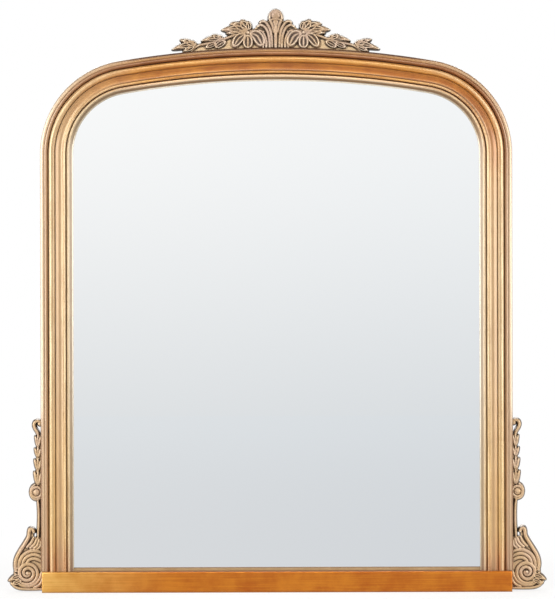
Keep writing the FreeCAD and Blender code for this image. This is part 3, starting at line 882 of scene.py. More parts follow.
def spiral_px(centre, radius, fall, turns, start_degrees, steps_per_turn=14):
    """Points of a spiral on the photograph that closes in evenly, turning anticlockwise."""
    points = []
    for step in range(int(turns * steps_per_turn) + 1):
        turn = step / steps_per_turn
        angle = math.radians(start_degrees) + 2 * math.pi * turn
        reach = radius - fall * turn
        points.append((centre[0] + reach * math.cos(angle), centre[1] - reach * math.sin(angle)))
    return points


def carve_husk(clay, top, tip, half):
    """A bellflower on its point: two petals that curl outwards as they rise, and one between them."""
    axis = husk_axis_px
    belly = (top + 2 * tip) / 3
    for side in (-1, 1):
        petal = [
            (axis + side * 0.3, tip), (axis + side * half * 0.5, belly),
            (axis + side * half * 0.74, (top + belly) / 2), (axis + side * half, top + 1.2),
        ]
        strand(clay, petal, half * 0.46, scroll_leaf_rise, 0.62)
    core = [(axis, tip), (axis, belly), (axis, top - 0.4)]
    strand(clay, core, half * 0.36, scroll_leaf_rise * 0.9, 0.5)


def carve_scroll():
    clay = Carving(scroll_at, seat_by_frame)
    clay.plate(scroll_ground_px, casting_ground)
    clay.plate(scroll_neck_px, casting_ground)
    clay.plate(stem_web_px, stem_web_depth)
    for points, half in scroll_strands_px:
        strand(clay, points, half, scroll_rise)
    strand(clay, ribbon_px, ribbon_half_px, scroll_leaf_rise, ribbon_taper)
    for points, half, tip in scroll_leaves_px:
        leaf(clay, points, half, scroll_leaf_rise, tip)
    for top, tip, half in husk_rows_px:
        carve_husk(clay, top, tip, half)
    dome(clay, curl_drop_px, curl_drop_radius_px, scroll_rise)
    coil = spiral_px(volute_eye_px, volute_start_px, volute_fall_px, volute_turns, 180)
    strand(clay, coil, volute_half_px, scroll_rise)
    dome(clay, volute_eye_px, volute_half_px, scroll_leaf_rise)
    ring = spiral_px(rosette_px, rosette_ring_px, 0.0, 1.0, 90)
    strand(clay, ring, rosette_half_px, scroll_rise, 0.0)
    dome(clay, rosette_px, rosette_eye_px, scroll_leaf_rise)
    return cast(clay, scroll_voxel, "scroll_carving_left", "side_scroll_left")


scroll_left = carve_scroll()
scroll_right = mirrored_copy(scroll_left, "scroll_carving_right", ["side_scroll_right"])

# %% [markdown]
# ## The rings
# Two wire rings hang in straps behind the mirror. A real ring is bent from one length of wire, straight
# runs with a bend after each. A curve with a round bevel could give the same wire. Here the making is
# followed: a circle of vertices is extruded along a run and spun round a bend, over and over. The rings
# swing, so each rides on its own body.

# %% Bend the rings
ring_low, ring_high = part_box("hanger_ring_left")
wire_radius = 0.002
wire_sides = 16
bar_axis = Vector(((ring_low.x + ring_high.x) / 2, ring_high.y - wire_radius, ring_low.z + wire_radius))
bar_half = (ring_high.x - ring_low.x) / 2 - wire_radius
ring_top_half = 0.0045
ring_reach = Vector((bar_axis.y - wire_radius - ring_low.y, ring_high.z - wire_radius - bar_axis.z)).length
ring_lean = math.asin((bar_axis.y - wire_radius - ring_low.y) / ring_reach)
foot_bend = 0.0022
top_bend = 0.0032
bend_steps = 8


def loop_of(bm, verts):
    return [e for e in bm.edges if all(v in verts for v in e.verts)]


def bend_wire(moves):
    """A closed wire in the plane of x and z: runs and left turns from the origin, first towards +x."""
    bm = bmesh.new()
    across = Matrix.Rotation(math.pi / 2, 4, "Y")
    ring = bmesh.ops.create_circle(bm, segments=wire_sides, radius=wire_radius, matrix=across)["verts"]
    place = Vector()
    heading = Vector((1, 0, 0))
    for run, turn, bend in moves:
        ring = verts_of(bmesh.ops.extrude_edge_only(bm, edges=loop_of(bm, set(ring)))["geom"])
        bmesh.ops.translate(bm, vec=heading * run, verts=ring)
        place += heading * run
        if turn:
            left = Vector((-heading.z, 0, heading.x))
            centre = place + left * bend
            end = ring + loop_of(bm, set(ring))
            spun = bmesh.ops.spin(bm, geom=end, cent=centre, axis=(0, -1, 0), angle=turn, steps=bend_steps)
            ring = verts_of(spun["geom_last"])
            heading = Matrix.Rotation(-turn, 3, "Y") @ heading
            place = centre - Vector((-heading.z, 0, heading.x)) * bend
    bmesh.ops.remove_doubles(bm, verts=bm.verts[:], dist=wire_radius / 20)
    return bm


def make_ring():
    foot_turn = math.atan2(ring_reach, ring_top_half - bar_half)
    top_turn = math.pi - foot_turn
    foot_cut = foot_bend * math.tan(foot_turn / 2)
    top_cut = top_bend * math.tan(top_turn / 2)
    half_bar = bar_half - foot_cut
    leg = math.hypot(ring_reach, bar_half - ring_top_half) - foot_cut - top_cut
    top_bar = 2 * ring_top_half - 2 * top_cut
    bm = bend_wire([
        (half_bar, foot_turn, foot_bend), (leg, top_turn, top_bend), (top_bar, top_turn, top_bend),
        (leg, foot_turn, foot_bend), (half_bar, 0, 0),
    ])
    hung = Matrix.Translation(bar_axis) @ Matrix.Rotation(ring_lean, 4, "X")
    bmesh.ops.transform(bm, matrix=hung, verts=bm.verts[:])
    return make_piece(bm, "wire_ring_left", ["hanger_ring_left"], "ring_left")


hanging_ring = make_ring()
hanging_rings = [
    hanging_ring,
    mirrored_copy(hanging_ring, "wire_ring_right", ["hanger_ring_right"], "ring_right"),
]
print("ring leans", round(math.degrees(ring_lean), 2), "degrees and reaches", round(ring_reach, 4))

# %% [markdown]
# ## The straps
# A strap is a strip of sheet steel that runs up flat on the stile and rolls round the ring's bar. A bend
# modifier could roll it, but a spin says exactly where the axis is: the strip's end is extruded up and then
# spun about the bar. The two lower corners are rounded, as a press would leave them.

# %% Roll the straps
strap_low, strap_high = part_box("hanger_strap_left")
strap_sheet = 0.002
strap_corner = 0.004
strap_roll = math.radians(292)
roll_steps = 28
sheet_ease = 0.0003


def make_strap():
    bm = bmesh.new()
    middle = Vector(((strap_low.x + strap_high.x) / 2, back_y + strap_sheet / 2, strap_low.z))
    shape = Matrix.Translation(middle) @ Matrix.Diagonal((strap_high.x - strap_low.x, strap_sheet, 1, 1))
    end = bmesh.ops.create_grid(bm, x_segments=1, y_segments=1, size=0.5, matrix=shape)["verts"]
    pulled = bmesh.ops.extrude_face_region(bm, geom=bm.faces[:], use_keep_orig=True)["geom"]
    bmesh.ops.translate(bm, vec=(0, 0, bar_axis.z - strap_low.z), verts=verts_of(pulled))
    faces = [g for g in pulled if isinstance(g, bmesh.types.BMFace)]
    foot = [e for e in bm.edges if all(v in end for v in e.verts)]
    corners = [e for e in foot if abs((e.verts[0].co - e.verts[1].co).y) > 0]
    bmesh.ops.spin(bm, geom=faces, cent=bar_axis, axis=(-1, 0, 0), angle=strap_roll, steps=roll_steps)
    round_edges(bm, corners, strap_corner, 6)
    arrises = [e for e in bm.edges if len(e.link_faces) == 2 and e.calc_face_angle() > 1.0]
    round_edges(bm, arrises, sheet_ease, 2)
    return make_piece(bm, "rolled_strap_left", ["hanger_strap_left"])


strap_left = make_strap()
straps = [strap_left, mirrored_copy(strap_left, "rolled_strap_right", ["hanger_strap_right"])]
print("straps rolled", round(math.degrees(strap_roll)), "degrees round the bar")

# %% [markdown]
# ## Screws and pads
# The screws are pan heads with a cross recess. A boolean could press the recess in, but the faces round it
# are tidier when the head grows from it. The flat middle of the head is a small grid whose middle row and
# column are pushed in. It is bridged to a circle, and the circle is extruded again and again down the
# profile of head and shank. The wall pads are soft blocks with generous rounds, so a cube with two bevels
# is their true shape.

# %% Turn the screws
screw_low, screw_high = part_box("hanger_screws")
head_radius = (screw_high.z - screw_low.z) / 2
head_height = screw_high.y - strap_sheet - back_y
shank_radius = 0.0015
screw_length = screw_high.y - screw_low.y
screw_profile = [
    (0.82 * head_radius, -0.10 * head_height), (0.95 * head_radius, -0.32 * head_height),
    (head_radius, -0.60 * head_height), (head_radius, -head_height), (shank_radius, -head_height),
    (shank_radius, 0.002 - screw_length), (0.2 * shank_radius, -screw_length),
]
recess_length = 0.0026
recess_width = 0.0008
recess_depth = 0.0011
flat_share = 0.62


def cross_top(bm):
    """The flat middle of a head with its recess: a grid whose middle row and column are pushed in."""
    lines = [-recess_length, -recess_length / 2, -recess_width / 2]
    lines += [-line for line in reversed(lines)]
    cells = len(lines) - 1
    grid = bmesh.ops.create_grid(bm, x_segments=cells, y_segments=cells, size=0.5)["verts"]
    for vert in grid:
        column, row = [round((c + 0.5) * cells) for c in vert.co.xy]
        vert.co = (lines[column], 0, lines[row])
    rim = [e for e in bm.edges if e.is_boundary]
    for vert in {v for e in rim for v in e.verts}:
        vert.co = vert.co.normalized() * flat_share * head_radius
    middles = {f: f.calc_center_median() for f in bm.faces}
    slots = [
        f for f, c in middles.items()
        if min(abs(c.x), abs(c.z)) < recess_width / 2 and max(abs(c.x), abs(c.z)) < recess_length / 2
    ]
    pushed = bmesh.ops.extrude_face_region(bm, geom=slots)["geom"]
    bmesh.ops.translate(bm, vec=(0, -recess_depth, 0), verts=verts_of(pushed))
    bmesh.ops.delete(bm, geom=slots, context="FACES")
    return rim


def make_screw():
    bm = bmesh.new()
    rim = cross_top(bm)
    flat = Matrix.Rotation(math.pi / 2, 4, "X")
    reach = screw_profile[0][0]
    ring = bmesh.ops.create_circle(bm, segments=len(rim), radius=reach, matrix=flat)["verts"]
    bmesh.ops.translate(bm, vec=(0, screw_profile[0][1], 0), verts=ring)
    bmesh.ops.bridge_loops(bm, edges=rim + loop_of(bm, set(ring)))
    for radius, y in screw_profile[1:]:
        ring = verts_of(bmesh.ops.extrude_edge_only(bm, edges=loop_of(bm, set(ring)))["geom"])
        bmesh.ops.scale(bm, vec=(radius / reach, 1, radius / reach), verts=ring)
        bmesh.ops.translate(bm, vec=(0, y - ring[0].co.y, 0), verts=ring)
        reach = radius
    bmesh.ops.holes_fill(bm, edges=loop_of(bm, set(ring)), sides=0)
    place = Vector((bar_axis.x, screw_high.y, (screw_low.z + screw_high.z) / 2))
    bmesh.ops.translate(bm, vec=place, verts=bm.verts[:])
    return make_piece(bm, "pan_screw_left", ["hanger_screws"], sharp_degrees=35)


screw_left = make_screw()
screws = [screw_left, mirrored_copy(screw_left, "pan_screw_right")]
print("screw heads", round(2000 * head_radius, 1), "mm across")

# %% Mould the pads
pad_low, pad_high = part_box("wall_pads")
pad_side = 0.018
pad_corner = 0.003
pad_round = 0.0016


def make_pads():
    bm = bmesh.new()
    size = (pad_side, pad_high.y - pad_low.y, pad_side)
    for x in (pad_low.x + pad_side / 2, pad_high.x - pad_side / 2):
        for z in (pad_low.z + pad_side / 2, pad_high.z - pad_side / 2):
            solid_box(bm, (x, (pad_low.y + pad_high.y) / 2, z), size)
    uprights = [e for e in bm.edges if abs((e.verts[0].co - e.verts[1].co).y) > size[1] / 2]
    round_edges(bm, uprights, pad_corner, 6)
    rims = [e for e in bm.edges if all(v.co.y > pad_high.y - 1e-6 for v in e.verts)]
    round_edges(bm, rims, pad_round, 4)
    return make_piece(bm, "soft_pads", ["wall_pads"])


pads = make_pads()
print("pads stand", round(1000 * (pad_high.y - pad_low.y), 1), "mm off the frame")

# %% [markdown]
# ## Writing a finish
# A shader is a graph of nodes. It could be drawn by hand in the editor, but it reads best as arithmetic.
# The class below wraps one socket, and each operator on it adds a Math node, so that 1 - mask is a value
# too. A second class holds a material and adds any other node through one method: its settings are set
# first, and its sockets are filled or linked after.

# %% Shader arithmetic
def feed(tree, socket, value):
    if isinstance(value, Value):
        tree.links.new(value.socket, socket)
    else:
        socket.default_value = value


def find_socket(sockets, key):
    """A socket by its place, its identifier or its name."""
    if isinstance(key, int):
        return sockets[key]
    return next((s for s in sockets if s.identifier == key), None) or sockets[key]


class Value:
    """A socket in an expression."""

    def __init__(self, tree, socket):
        self.tree = tree
        self.socket = socket

    def math(self, operation, first, second, clamped=False):
        node = self.tree.nodes.new("ShaderNodeMath")
        node.operation = operation
        node.use_clamp = clamped
        feed(self.tree, node.inputs[0], first)
        feed(self.tree, node.inputs[1], second)
        return Value(self.tree, node.outputs[0])

    def __add__(self, other):
        return self.math("ADD", self, other)

    def __radd__(self, other):
        return self.math("ADD", other, self)

    def __sub__(self, other):
        return self.math("SUBTRACT", self, other)

    def __rsub__(self, other):
        return self.math("SUBTRACT", other, self)

    def __mul__(self, other):
        return self.math("MULTIPLY", self, other)

    def __rmul__(self, other):
        return self.math("MULTIPLY", other, self)

    def clamped(self):
        return self.math("ADD", self, 0.0, True)


def srgb(red, green, blue):
    """A colour written in 8-bit screen values, as the linear colour that a shader takes."""
    shares = [c / 255 for c in (red, green, blue)]
    return tuple(c / 12.92 if c < 0.04045 else ((c + 0.055) / 1.055) ** 2.4 for c in shares) + (1.0,)


# %% Nodes and materials
class Graph:
    """A node tree with one way to add any node."""

    def __init__(self, tree):
        self.tree = tree

    def node(self, kind, settings=None, sockets=None, out=0):
        made = self.tree.nodes.new(kind)
        for name, value in (settings or {}).items():
            setattr(made, name, value)
        for name, value in (sockets or {}).items():
            feed(self.tree, find_socket(made.inputs, name), value)
        return Value(self.tree, find_socket(made.outputs, out)) if made.outputs else None

    def mix(self, factor, first, second):
        sockets = {"Factor_Float": factor, "A_Color": first, "B_Color": second}
        return self.node("ShaderNodeMix", {"data_type": "RGBA"}, sockets, "Result_Color")

    def noise(self, place, scale, detail=3.0, roughness=0.55):
        sockets = {"Vector": place, "Scale": scale, "Detail": detail, "Roughness": roughness}
        return self.node("ShaderNodeTexNoise", None, sockets, "Fac")

    def place(self, x, y, z=0.0):
        return self.node("ShaderNodeCombineXYZ", None, {"X": x, "Y": y, "Z": z})

    def step(self, value, low, high):
        """A smooth rise from 0 at low to 1 at high."""
        sockets = {"Value": value, "From Min": low, "From Max": high}
        return self.node("ShaderNodeMapRange", {"interpolation_type": "SMOOTHSTEP"}, sockets)


class Finish(Graph):
    """One material with a Principled shader."""

    def __init__(self, name, **values):
        self.material = bpy.data.materials.new(name)
        self.material.use_nodes = True
        super().__init__(self.material.node_tree)
        self.shader = self.tree.nodes["Principled BSDF"]
        self.set(**values)

    def set(self, **values):
        for name, value in values.items():
            feed(self.tree, self.shader.inputs[name.replace("_", " ")], value)

    def bump(self, height, distance, strength=1.0):
        sockets = {"Height": height, "Distance": distance, "Strength": strength}
        self.set(Normal=self.node("ShaderNodeBump", None, sockets, "Normal"))

    def attribute(self, name):
        return self.node("ShaderNodeAttribute", {"attribute_name": name}, None, "Fac")

    def coordinates(self):
        return self.node("ShaderNodeTexCoord", None, None, "Object")

    def axis(self, name):
        return self.node("ShaderNodeSeparateXYZ", None, {"Vector": self.coordinates()}, name)

    def paint(self, *pieces):
        for piece in pieces:
            piece.data.materials.clear()
            piece.data.materials.append(self.material)
        print(self.material.name, "on", len(pieces), "pieces with", len(self.tree.nodes), "nodes")


# %% [markdown]
# ## Gilding the frame
# The frame is gold over a warm ground, brushed along the moulding, rubbed on the beads with a painted
# highlight and left with brown glaze and painted shade in the quirks. Its gold is painted as a lit copy,
# pale, on the stiles and as a shaded copy, deep, on the crown; the rail is deep too, with a painted
# highlight at its left end. Long streaks could come from a stretched texture, but that would not bend round
# the arch, so they follow the attributes across and along. The back is never gilded: bare wood shows there,
# and the colour stops a little way round the edge.

# %% Tones of gold
# Lit and shaded copies of one gold, each a dull and a bright colour: pale with painted sheen on the stiles,
# with less sheen low down, darker at the root by the rail and deep on the crown as painted shade, and on the
# rail deep orange with a painted highlight at its left end.
lit_stile_gold = (srgb(162, 128, 82), srgb(196, 166, 122))
foot_gold_less_sheen = (srgb(174, 132, 68), srgb(208, 168, 102))
shaded_root_gold = (srgb(158, 92, 34), srgb(194, 130, 64))
shaded_crown_gold = (srgb(160, 92, 16), srgb(194, 128, 40))
lit_left_gold = (srgb(206, 148, 60), srgb(232, 184, 102))
rail_gold = (srgb(174, 88, 8), srgb(208, 128, 34))


def blend(finish, share, first, second):
    return [finish.mix(share, a, b) for a, b in zip(first, second)]


def frame_tones(finish, along):
    """How far the gold goes from its painted lit copy on the stiles, 0, to its painted shaded copy on the
    crown, 1, with its dull and its bright colour.
    """
    # Painted shade: the crown's shaded gold starts lower on the right side than on the left.
    right = finish.step(finish.axis("X"), -0.1, 0.1)
    crown = finish.step(along + 0.12 * right, springing_z, springing_z + 0.25)
    # Lower down the stile the gold has less painted sheen, and at its root by the rail it is painted darker
    # still.
    low = 1 - finish.step(along, 0.10, 0.42)
    root = 1 - finish.step(along, 0.035, 0.11)
    stile = blend(finish, root, blend(finish, low, lit_stile_gold, foot_gold_less_sheen), shaded_root_gold)
    return crown, blend(finish, crown, stile, shaded_crown_gold)


def rail_tones(finish, along):
    """The same for the rail, which has a painted highlight at its left end."""
    deep = finish.step(along, rail_low.x - 0.06, rail_low.x + 0.24)
    return deep, blend(finish, deep, lit_left_gold, rail_gold)


# %% Gild the mouldings and the rail
def gilding(name, tones, coat, glazed_and_shaded, metal):
    finish = Finish(name, Specular_IOR_Level=0.5, Coat_Roughness=0.2, Coat_IOR=1.5)
    spot = finish.coordinates()
    across = finish.attribute("across")
    along = finish.attribute("along")
    brushed = finish.noise(finish.place(across * 900.0, along * 9.0), 1.0, 4.0)
    cloudy = finish.noise(spot, 26.0, 4.0, 0.6)
    speckle = finish.noise(spot, 420.0, 2.0)
    tone = finish.step(brushed * 0.5 + cloudy * 0.5, 0.34, 0.66)
    lit_to_deep, (dull, bright) = tones(finish, along)
    scroll_shadow_mask = 1 - finish.step(along, 0.26, 0.32)
    by_crest = finish.step(along, springing_z + 0.14, springing_z + 0.24)
    colour = finish.mix(tone, dull, bright)

    # The outer band has a pinkish tint, painted darker on the crown as painted shade.
    shaded_rose = finish.mix(tone, srgb(114, 72, 44), srgb(154, 108, 74))
    rose = finish.mix(lit_to_deep, srgb(186, 154, 124), shaded_rose)
    colour = finish.mix(finish.attribute("band") * 0.8, colour, rose)

    # The cove on the crown is painted lighter amber on the left and deeper russet on the right, as painted
    # light and shade; on the stiles it is a duller tint.
    lit_amber = finish.mix(tone, srgb(158, 88, 22), srgb(212, 148, 64))
    shaded_russet = finish.mix(tone, srgb(140, 66, 12), srgb(188, 112, 36))
    deep_cove = finish.mix(finish.step(finish.axis("X"), -0.26, 0.02), lit_amber, shaded_russet)
    cove = finish.mix(lit_to_deep, srgb(184, 148, 106), deep_cove)
    colour = finish.mix(finish.attribute("cove") * 0.7, colour, cove)

    # Rubbed beads: wear with a painted highlight, pale cream on the stiles and shoulders, deeper yellow on
    # the crown.
    worn = finish.step(brushed + 0.3 * speckle, 0.44, 0.84)
    rub_and_highlight = finish.attribute("rub_and_highlight") * worn * (0.55 + 0.2 * lit_to_deep)
    colour = finish.mix(rub_and_highlight, colour, finish.mix(by_crest, srgb(248, 226, 182), srgb(238, 194, 122)))

    # The outer arris is painted: a pale highlight on the stiles, duller on the crown, and a dark brown
    # painted shadow beside the scrolls and under the crest.
    arris = finish.attribute("edge")
    painted_edge_light = finish.mix(lit_to_deep, srgb(202, 186, 164), srgb(164, 130, 100))
    edge = finish.mix((scroll_shadow_mask + by_crest).clamped(), painted_edge_light, srgb(116, 76, 42))
    colour = finish.mix(arris * 0.85, colour, edge)
    # Painted shade along the inner lip by the glass.
    colour = finish.mix(finish.attribute("lip_shade") * 0.85, colour, srgb(98, 82, 60))
    # Painted light at the sight edge: a near-white highlight on the crown, and a darker grey-beige as
    # painted shade on the stiles.
    sight_light_and_shade = finish.mix(by_crest, srgb(188, 176, 152), srgb(252, 246, 226))
    colour = finish.mix(finish.attribute("sight_light_and_shade") * 0.9, colour, sight_light_and_shade)

    # Glaze and painted shade in the quirks, with a painted shadow along the outer arris under the crest.
    glaze_and_shade = finish.attribute("glaze_and_shade") * (1 - lit_to_deep) + finish.attribute("crown_glaze_and_shade") * lit_to_deep
    wash_and_shade = finish.step(glaze_and_shade + 0.6 * arris * by_crest + 0.25 * (cloudy - 0.5), 0.08, 0.72)
    colour = finish.mix(wash_and_shade * 0.94, colour, glazed_and_shaded)
    bare = finish.step(finish.axis("Y") + 0.0035 * (cloudy - 0.5), back_y - 0.0022, back_y - 0.0004)
    grain = finish.noise(finish.place(across * 260.0, along * 7.0), 1.0, 5.0)
    wood = finish.mix(grain, srgb(150, 112, 74), srgb(196, 160, 116))
    lacquer = coat * (0.75 + 0.25 * cloudy) * (1 - 0.35 * lit_to_deep)
    finish.set(
        Base_Color=finish.mix(bare, colour, wood),
        Roughness=0.34 + 0.14 * cloudy + 0.30 * wash_and_shade + 0.32 * bare,
        Metallic=(metal + 0.12 * tone) * (1 - wash_and_shade) * (1 - bare),
        Coat_Weight=lacquer * (1 - 0.8 * wash_and_shade) * (1 - bare),
    )
    finish.bump(brushed * 0.8 + speckle * 0.2, 0.00012, 0.3)
    return finish


gilding("brushed_gold", frame_tones, 1.0, srgb(66, 34, 14), 0.26).paint(*mouldings, slip)
gilding("rail_gold", rail_tones, 0.2, srgb(104, 62, 26), 0.62).paint(rail)

# %% [markdown]
# ## Champagne gold on the castings
# The castings are paler and greyer than the frame. The brown wash stays in every hollow and on the walls,
# together with painted shade there, and wears off the walls in patches; the rims are rubbed almost to cream
# and carry a painted highlight, and the flat ground is painted paler to make up for the shade it lies in.
# Blender can guess hollows while it renders, but an exported model can't, so the attributes from the relaxed
# skin drive the wash and the painted shade, with a little noise so that no edge is too even.

# %% Finish of the castings
def casting_finish(name, low, high, blush, lit_ground, rubbed_and_lit, washed_and_shaded):
    finish = Finish(name, Specular_IOR_Level=0.5)
    spot = finish.coordinates()
    depth = finish.axis("Y")
    cloudy = finish.noise(spot, 60.0, 4.0, 0.6)
    speckle = finish.noise(spot, 700.0, 2.0)
    colour = finish.mix(cloudy, low, high)
    colour = finish.mix(0.7 * finish.step(finish.noise(spot, 24.0), 0.42, 0.62), colour, blush)
    raised = finish.step(back_y - depth, casting_ground + 0.0003, casting_ground + 0.0014)
    # The flat ground is painted paler, to make up for the shade it lies in.
    colour = finish.mix(1 - raised, colour, lit_ground)
    # Ridges are rubbed, and painted with a near-cream highlight.
    rub_and_highlight = finish.step(finish.attribute("ridge") + 0.3 * (cloudy - 0.5), 0.2, 0.8)
    colour = finish.mix(rub_and_highlight * 0.85, colour, rubbed_and_lit)
    # Brown wash with painted shade in the hollows and on the steep walls, worn off the walls in patches.
    wash_and_shade = finish.step(finish.attribute("hollow") + 0.2 * (cloudy - 0.5), 0.03, 0.38)
    wall_wash_and_shade = finish.step(finish.attribute("steep") + 0.2 * (cloudy - 0.5), 0.28, 0.78)
    worn = finish.step(finish.noise(spot, 110.0, 3.0), 0.44, 0.70)
    colour = finish.mix((wash_and_shade * 0.92 + wall_wash_and_shade * (0.96 - 0.34 * worn)).clamped(), colour, washed_and_shaded)
    bare = finish.step(depth + 0.0008 * (cloudy - 0.5), back_y - 0.0009, back_y - 0.0002)
    finish.set(
        Base_Color=finish.mix(bare, colour, srgb(188, 166, 138)),
        Roughness=0.42 + 0.2 * wash_and_shade + 0.2 * bare,
        Metallic=(0.22 + 0.15 * rub_and_highlight) * (1 - wash_and_shade) * (1 - bare),
    )
    finish.bump(speckle * 0.5 + cloudy * 0.5, 0.0002, 0.3)
    return finish


# A near-cream colour for the rubbed rims, which also stands for their painted highlight.
rubbed_and_lit_rim = srgb(250, 234, 208)
casting_finish(
    "champagne_crest", low=srgb(150, 122, 92), high=srgb(184, 154, 120), blush=srgb(172, 148, 132),
    lit_ground=srgb(222, 192, 150), rubbed_and_lit=rubbed_and_lit_rim, washed_and_shaded=srgb(44, 28, 18),
).paint(crest)
casting_finish(
    "champagne_scroll", low=srgb(174, 142, 104), high=srgb(208, 178, 138), blush=srgb(196, 168, 144),
    lit_ground=srgb(196, 164, 124), rubbed_and_lit=rubbed_and_lit_rim, washed_and_shaded=srgb(54, 34, 20),
).paint(scroll_left, scroll_right)

# %% [markdown]
# ## The glass
# A mirror is a metal film behind glass. A glass shader over a metal one would be closer to that, but the
# eye sees only the film. A Principled shader with full metal and almost no roughness is enough: what it
# shows is the studio. The silver is a shade darker towards one side, and behind, the film is covered with
# grey paint.

# %% Silvered glass
def glass_finish():
    finish = Finish("silvered_glass")
    spot = finish.coordinates()
    cloudy = finish.noise(spot, 3.0, 2.0)
    towards_right = finish.step(finish.axis("X") + 0.1 * (cloudy - 0.5), -0.4, 0.4)
    silver = finish.mix(towards_right, srgb(254, 254, 254), srgb(249, 250, 251))
    glass_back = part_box("mirror_glass")[1].y
    backed = finish.step(finish.axis("Y"), glass_back - 0.0012, glass_back - 0.0006)
    paint = finish.mix(finish.noise(spot, 300.0), srgb(92, 84, 76), srgb(112, 104, 96))
    finish.set(
        Base_Color=finish.mix(backed, silver, paint),
        Metallic=1 - backed,
        Roughness=0.004 + 0.008 * cloudy + 0.55 * backed,
    )
    return finish


glass_finish().paint(nodes["mirror_glass"])

# %% [markdown]
# ## Behind the mirror
# The board is hardboard, brown and finely felted. The hidden tongues and keys are bare wood. The steel
# pieces are zinc plated, with the cloudy spangle of plating, and the pads and setting blocks are black
# rubber. The solid model is right for the board, the points and the wood, so these keep their own shapes
# and only get a finish. Flat colours would be enough from afar, but the back is seen close when the mirror
# is hung.

# %% Finishes of the back
def board_finish():
    finish = Finish("hardboard", Specular_IOR_Level=0.3)
    spot = finish.coordinates()
    felt = finish.noise(spot, 900.0, 4.0, 0.7)
    cloudy = finish.noise(spot, 14.0, 4.0)
    pressed = finish.step(felt * 0.6 + cloudy * 0.4, 0.35, 0.65)
    colour = finish.mix(pressed, srgb(104, 72, 46), srgb(138, 100, 66))
    finish.set(Base_Color=colour, Roughness=0.62 + 0.2 * felt)
    finish.bump(felt, 0.00015, 0.4)
    return finish


def wood_finish():
    finish = Finish("bare_wood", Specular_IOR_Level=0.3)
    spot = finish.coordinates()
    stretched = finish.node("ShaderNodeMapping", None, {"Vector": spot, "Scale": (500.0, 500.0, 40.0)})
    grain = finish.noise(stretched, 1.0, 5.0)
    colour = finish.mix(grain, srgb(176, 134, 88), srgb(214, 176, 126))
    finish.set(Base_Color=colour, Roughness=0.6 + 0.2 * grain)
    finish.bump(grain, 0.0001, 0.3)
    return finish


def zinc_finish():
    finish = Finish("bright_zinc")
    spot = finish.coordinates()
    spangle = finish.node("ShaderNodeTexVoronoi", None, {"Vector": spot, "Scale": 420.0}, "Distance")
    cloudy = finish.noise(spot, 160.0, 4.0)
    finish.set(
        Base_Color=finish.mix(cloudy, srgb(176, 178, 178), srgb(212, 212, 206)),
        Roughness=0.26 + 0.14 * cloudy + 0.08 * spangle,
        Metallic=0.92 + 0.08 * cloudy,
    )
    finish.bump(cloudy, 0.00005, 0.25)
    return finish


def rubber_finish():
    finish = Finish("black_rubber", Specular_IOR_Level=0.35)
    spot = finish.coordinates()
    dust = finish.noise(spot, 240.0, 4.0, 0.7)
    finish.set(Base_Color=finish.mix(dust, srgb(22, 22, 23), srgb(46, 45, 44)), Roughness=0.62 + 0.22 * dust)
    finish.bump(dust, 0.0002, 0.4)
    return finish


board_finish().paint(nodes["backing_board"])
wood_finish().paint(nodes["joint_tongues"], nodes["crest_keys"], nodes["scroll_keys"])
zinc_finish().paint(nodes["retaining_points"], *hanging_rings, *straps, *screws)
rubber_finish().paint(nodes["glass_setting_blocks"], pads)

# %% [markdown]
# ## Studio
# The photograph is a product shot on white. More light would whiten the floor, but it would bleach the gold
# too. So the floor and the world are white to the camera and pale to reflections, through the Light Path
# node. The floor still takes part of its tone from the light that falls on it, which keeps the mirror's own
# shadow. Reflections see a sky that is palest a little above the horizon, for the glass, and dark overhead,
# for the gold.

# %% Floor and world
floor_half = 9.0
sky_white = srgb(255, 255, 255)
sky_high = srgb(250, 251, 251)
sky_low = srgb(213, 217, 220)
sky_dark = srgb(128, 128, 130)
floor_far = srgb(222, 226, 229)
floor_near = srgb(215, 218, 221)


def seen_rays(graph):
    """1 for rays from the camera, and 1 for rays that a gloss or glass sends on."""
    names = ("Is Camera Ray", "Is Glossy Ray", "Is Transmission Ray")
    camera, glossy, clear = [graph.node("ShaderNodeLightPath", out=name) for name in names]
    return camera, (glossy + clear).clamped()


def make_floor():
    bm = bmesh.new()
    bmesh.ops.create_grid(bm, x_segments=1, y_segments=1, size=floor_half)
    mesh = bpy.data.meshes.new("studio_floor")
    bm.to_mesh(mesh)
    bm.free()
    floor = bpy.data.objects.new("studio_floor", mesh)
    bpy.context.scene.collection.objects.link(floor)
    finish = Finish("studio_floor", Base_Color=srgb(238, 238, 238), Roughness=0.8)
    camera, reflected = seen_rays(finish)
    shine = finish.mix(finish.step(finish.axis("Y"), -floor_half, 0.0), floor_far, floor_near)
    white = finish.node("ShaderNodeEmission", None, {"Color": finish.mix(camera, shine, sky_white)})
    far = finish.node("ShaderNodeVectorMath", {"operation": "LENGTH"}, {0: finish.coordinates()}, "Value")
    seen = (camera * (0.74 + 0.26 * finish.step(far, 0.3, 1.6)) + reflected).clamped()
    sockets = {"Fac": seen, 1: Value(finish.tree, finish.shader.outputs[0]), 2: white}
    mixed = finish.node("ShaderNodeMixShader", None, sockets)
    feed(finish.tree, finish.tree.nodes["Material Output"].inputs["Surface"], mixed)
    finish.paint(floor)


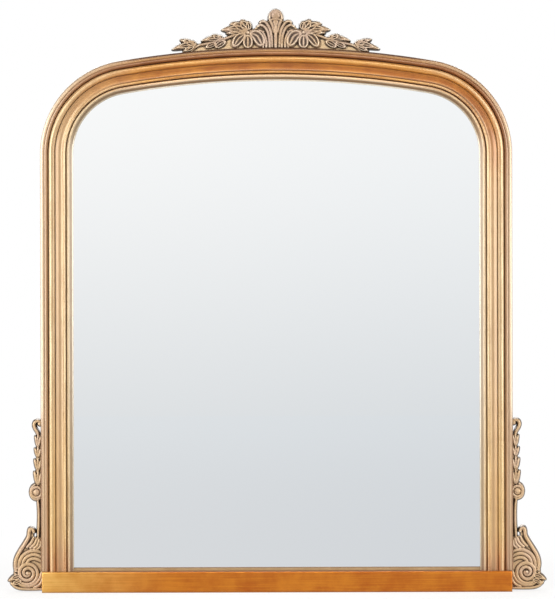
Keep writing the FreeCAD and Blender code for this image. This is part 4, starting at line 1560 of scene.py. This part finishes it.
def make_world():
    world = bpy.data.worlds.new("studio")
    bpy.context.scene.world = world
    world.use_nodes = True
    graph = Graph(world.node_tree)
    graph.tree.nodes.clear()
    camera, reflected = seen_rays(graph)
    direction = graph.node("ShaderNodeTexCoord", None, None, "Generated")
    height = graph.node("ShaderNodeSeparateXYZ", None, {"Vector": direction}, "Z")
    sky = graph.mix(graph.step(height, -0.085, 0.075), sky_low, sky_high)
    sky = graph.mix(graph.step(height, 0.15, 0.5), sky, sky_dark)
    lit = {"Color": srgb(244, 246, 250), "Strength": 0.3}
    plain = graph.node("ShaderNodeBackground", None, lit)
    shown = {"Color": graph.mix(camera, sky, sky_white), "Strength": 1.0}
    white = graph.node("ShaderNodeBackground", None, shown)
    sockets = {"Fac": (camera + reflected).clamped(), 1: plain, 2: white}
    mixed = graph.node("ShaderNodeMixShader", None, sockets)
    graph.node("ShaderNodeOutputWorld", None, {"Surface": mixed})


make_floor()
make_world()
bpy.context.scene.view_settings.view_transform = "Standard"
print("floor", 2 * floor_half, "m wide")

# %% [markdown]
# ## Lamps
# Gold needs something to reflect. Small lamps would leave hard sparks, so broad soft boxes are used: one at
# each side makes the stiles pale, with the gold painted paler there too, a weaker one above leaves the crown
# deep, with the gold painted deeper there too, and one behind serves the back.

# %% Hang the lamps
def soft_box(name, place, aim, width, height, watts, tint):
    lamp = bpy.data.lights.new(name, "AREA")
    lamp.shape = "RECTANGLE"
    lamp.size = width
    lamp.size_y = height
    lamp.energy = watts
    lamp.color = tint
    holder = bpy.data.objects.new(name, lamp)
    holder.location = place
    holder.rotation_euler = (Vector(aim) - Vector(place)).to_track_quat("-Z", "Y").to_euler()
    bpy.context.scene.collection.objects.link(holder)
    return holder


warm = (1.0, 0.97, 0.93)
lamps = [
    soft_box("soft_box_left", (-2.3, -1.3, 1.08), (0, 0, 0.55), 2.4, 1.9, 68, warm),
    soft_box("soft_box_right", (2.3, -1.3, 1.15), (0, 0, 0.58), 2.4, 1.9, 60, warm),
    soft_box("soft_box_top", (0.0, -1.8, 2.8), (0, 0, 0.5), 1.4, 0.6, 26, warm),
    soft_box("soft_box_back", (0.0, 2.6, 1.5), (0, 0, 0.5), 2.0, 1.4, 46, warm),
]
print("lamps", [lamp.name for lamp in lamps])

# %% [markdown]
# ## Camera
# The photograph is square on, with almost no perspective. An orthographic camera would do for the front,
# but a long lens at six metres also looks natural from other sides. The scale of the photograph gives the
# lens, and the middle of the picture gives the camera's place.

# %% Set up the camera
image_size = (555, 599)
photo_roll = 0.15
sensor = 0.036
camera_distance = 6.0
view_height = image_size[1] * metres_per_px
camera_data = bpy.data.cameras.new("camera")
camera_data.sensor_width = sensor * 1000
camera_data.lens = 1000 * sensor * camera_distance / view_height
camera = bpy.data.objects.new("camera", camera_data)
camera_x = (image_size[0] / 2 - photo_axis_px) * metres_per_px
camera_z = (photo_foot_px - image_size[1] / 2) * metres_per_px
camera.location = (camera_x, -camera_distance, camera_z)
camera.rotation_euler = (math.pi / 2, math.radians(photo_roll), 0)
bpy.context.scene.collection.objects.link(camera)
bpy.context.scene.camera = camera
print("camera lens", round(camera_data.lens, 1), "mm at height", round(camera_z, 3))
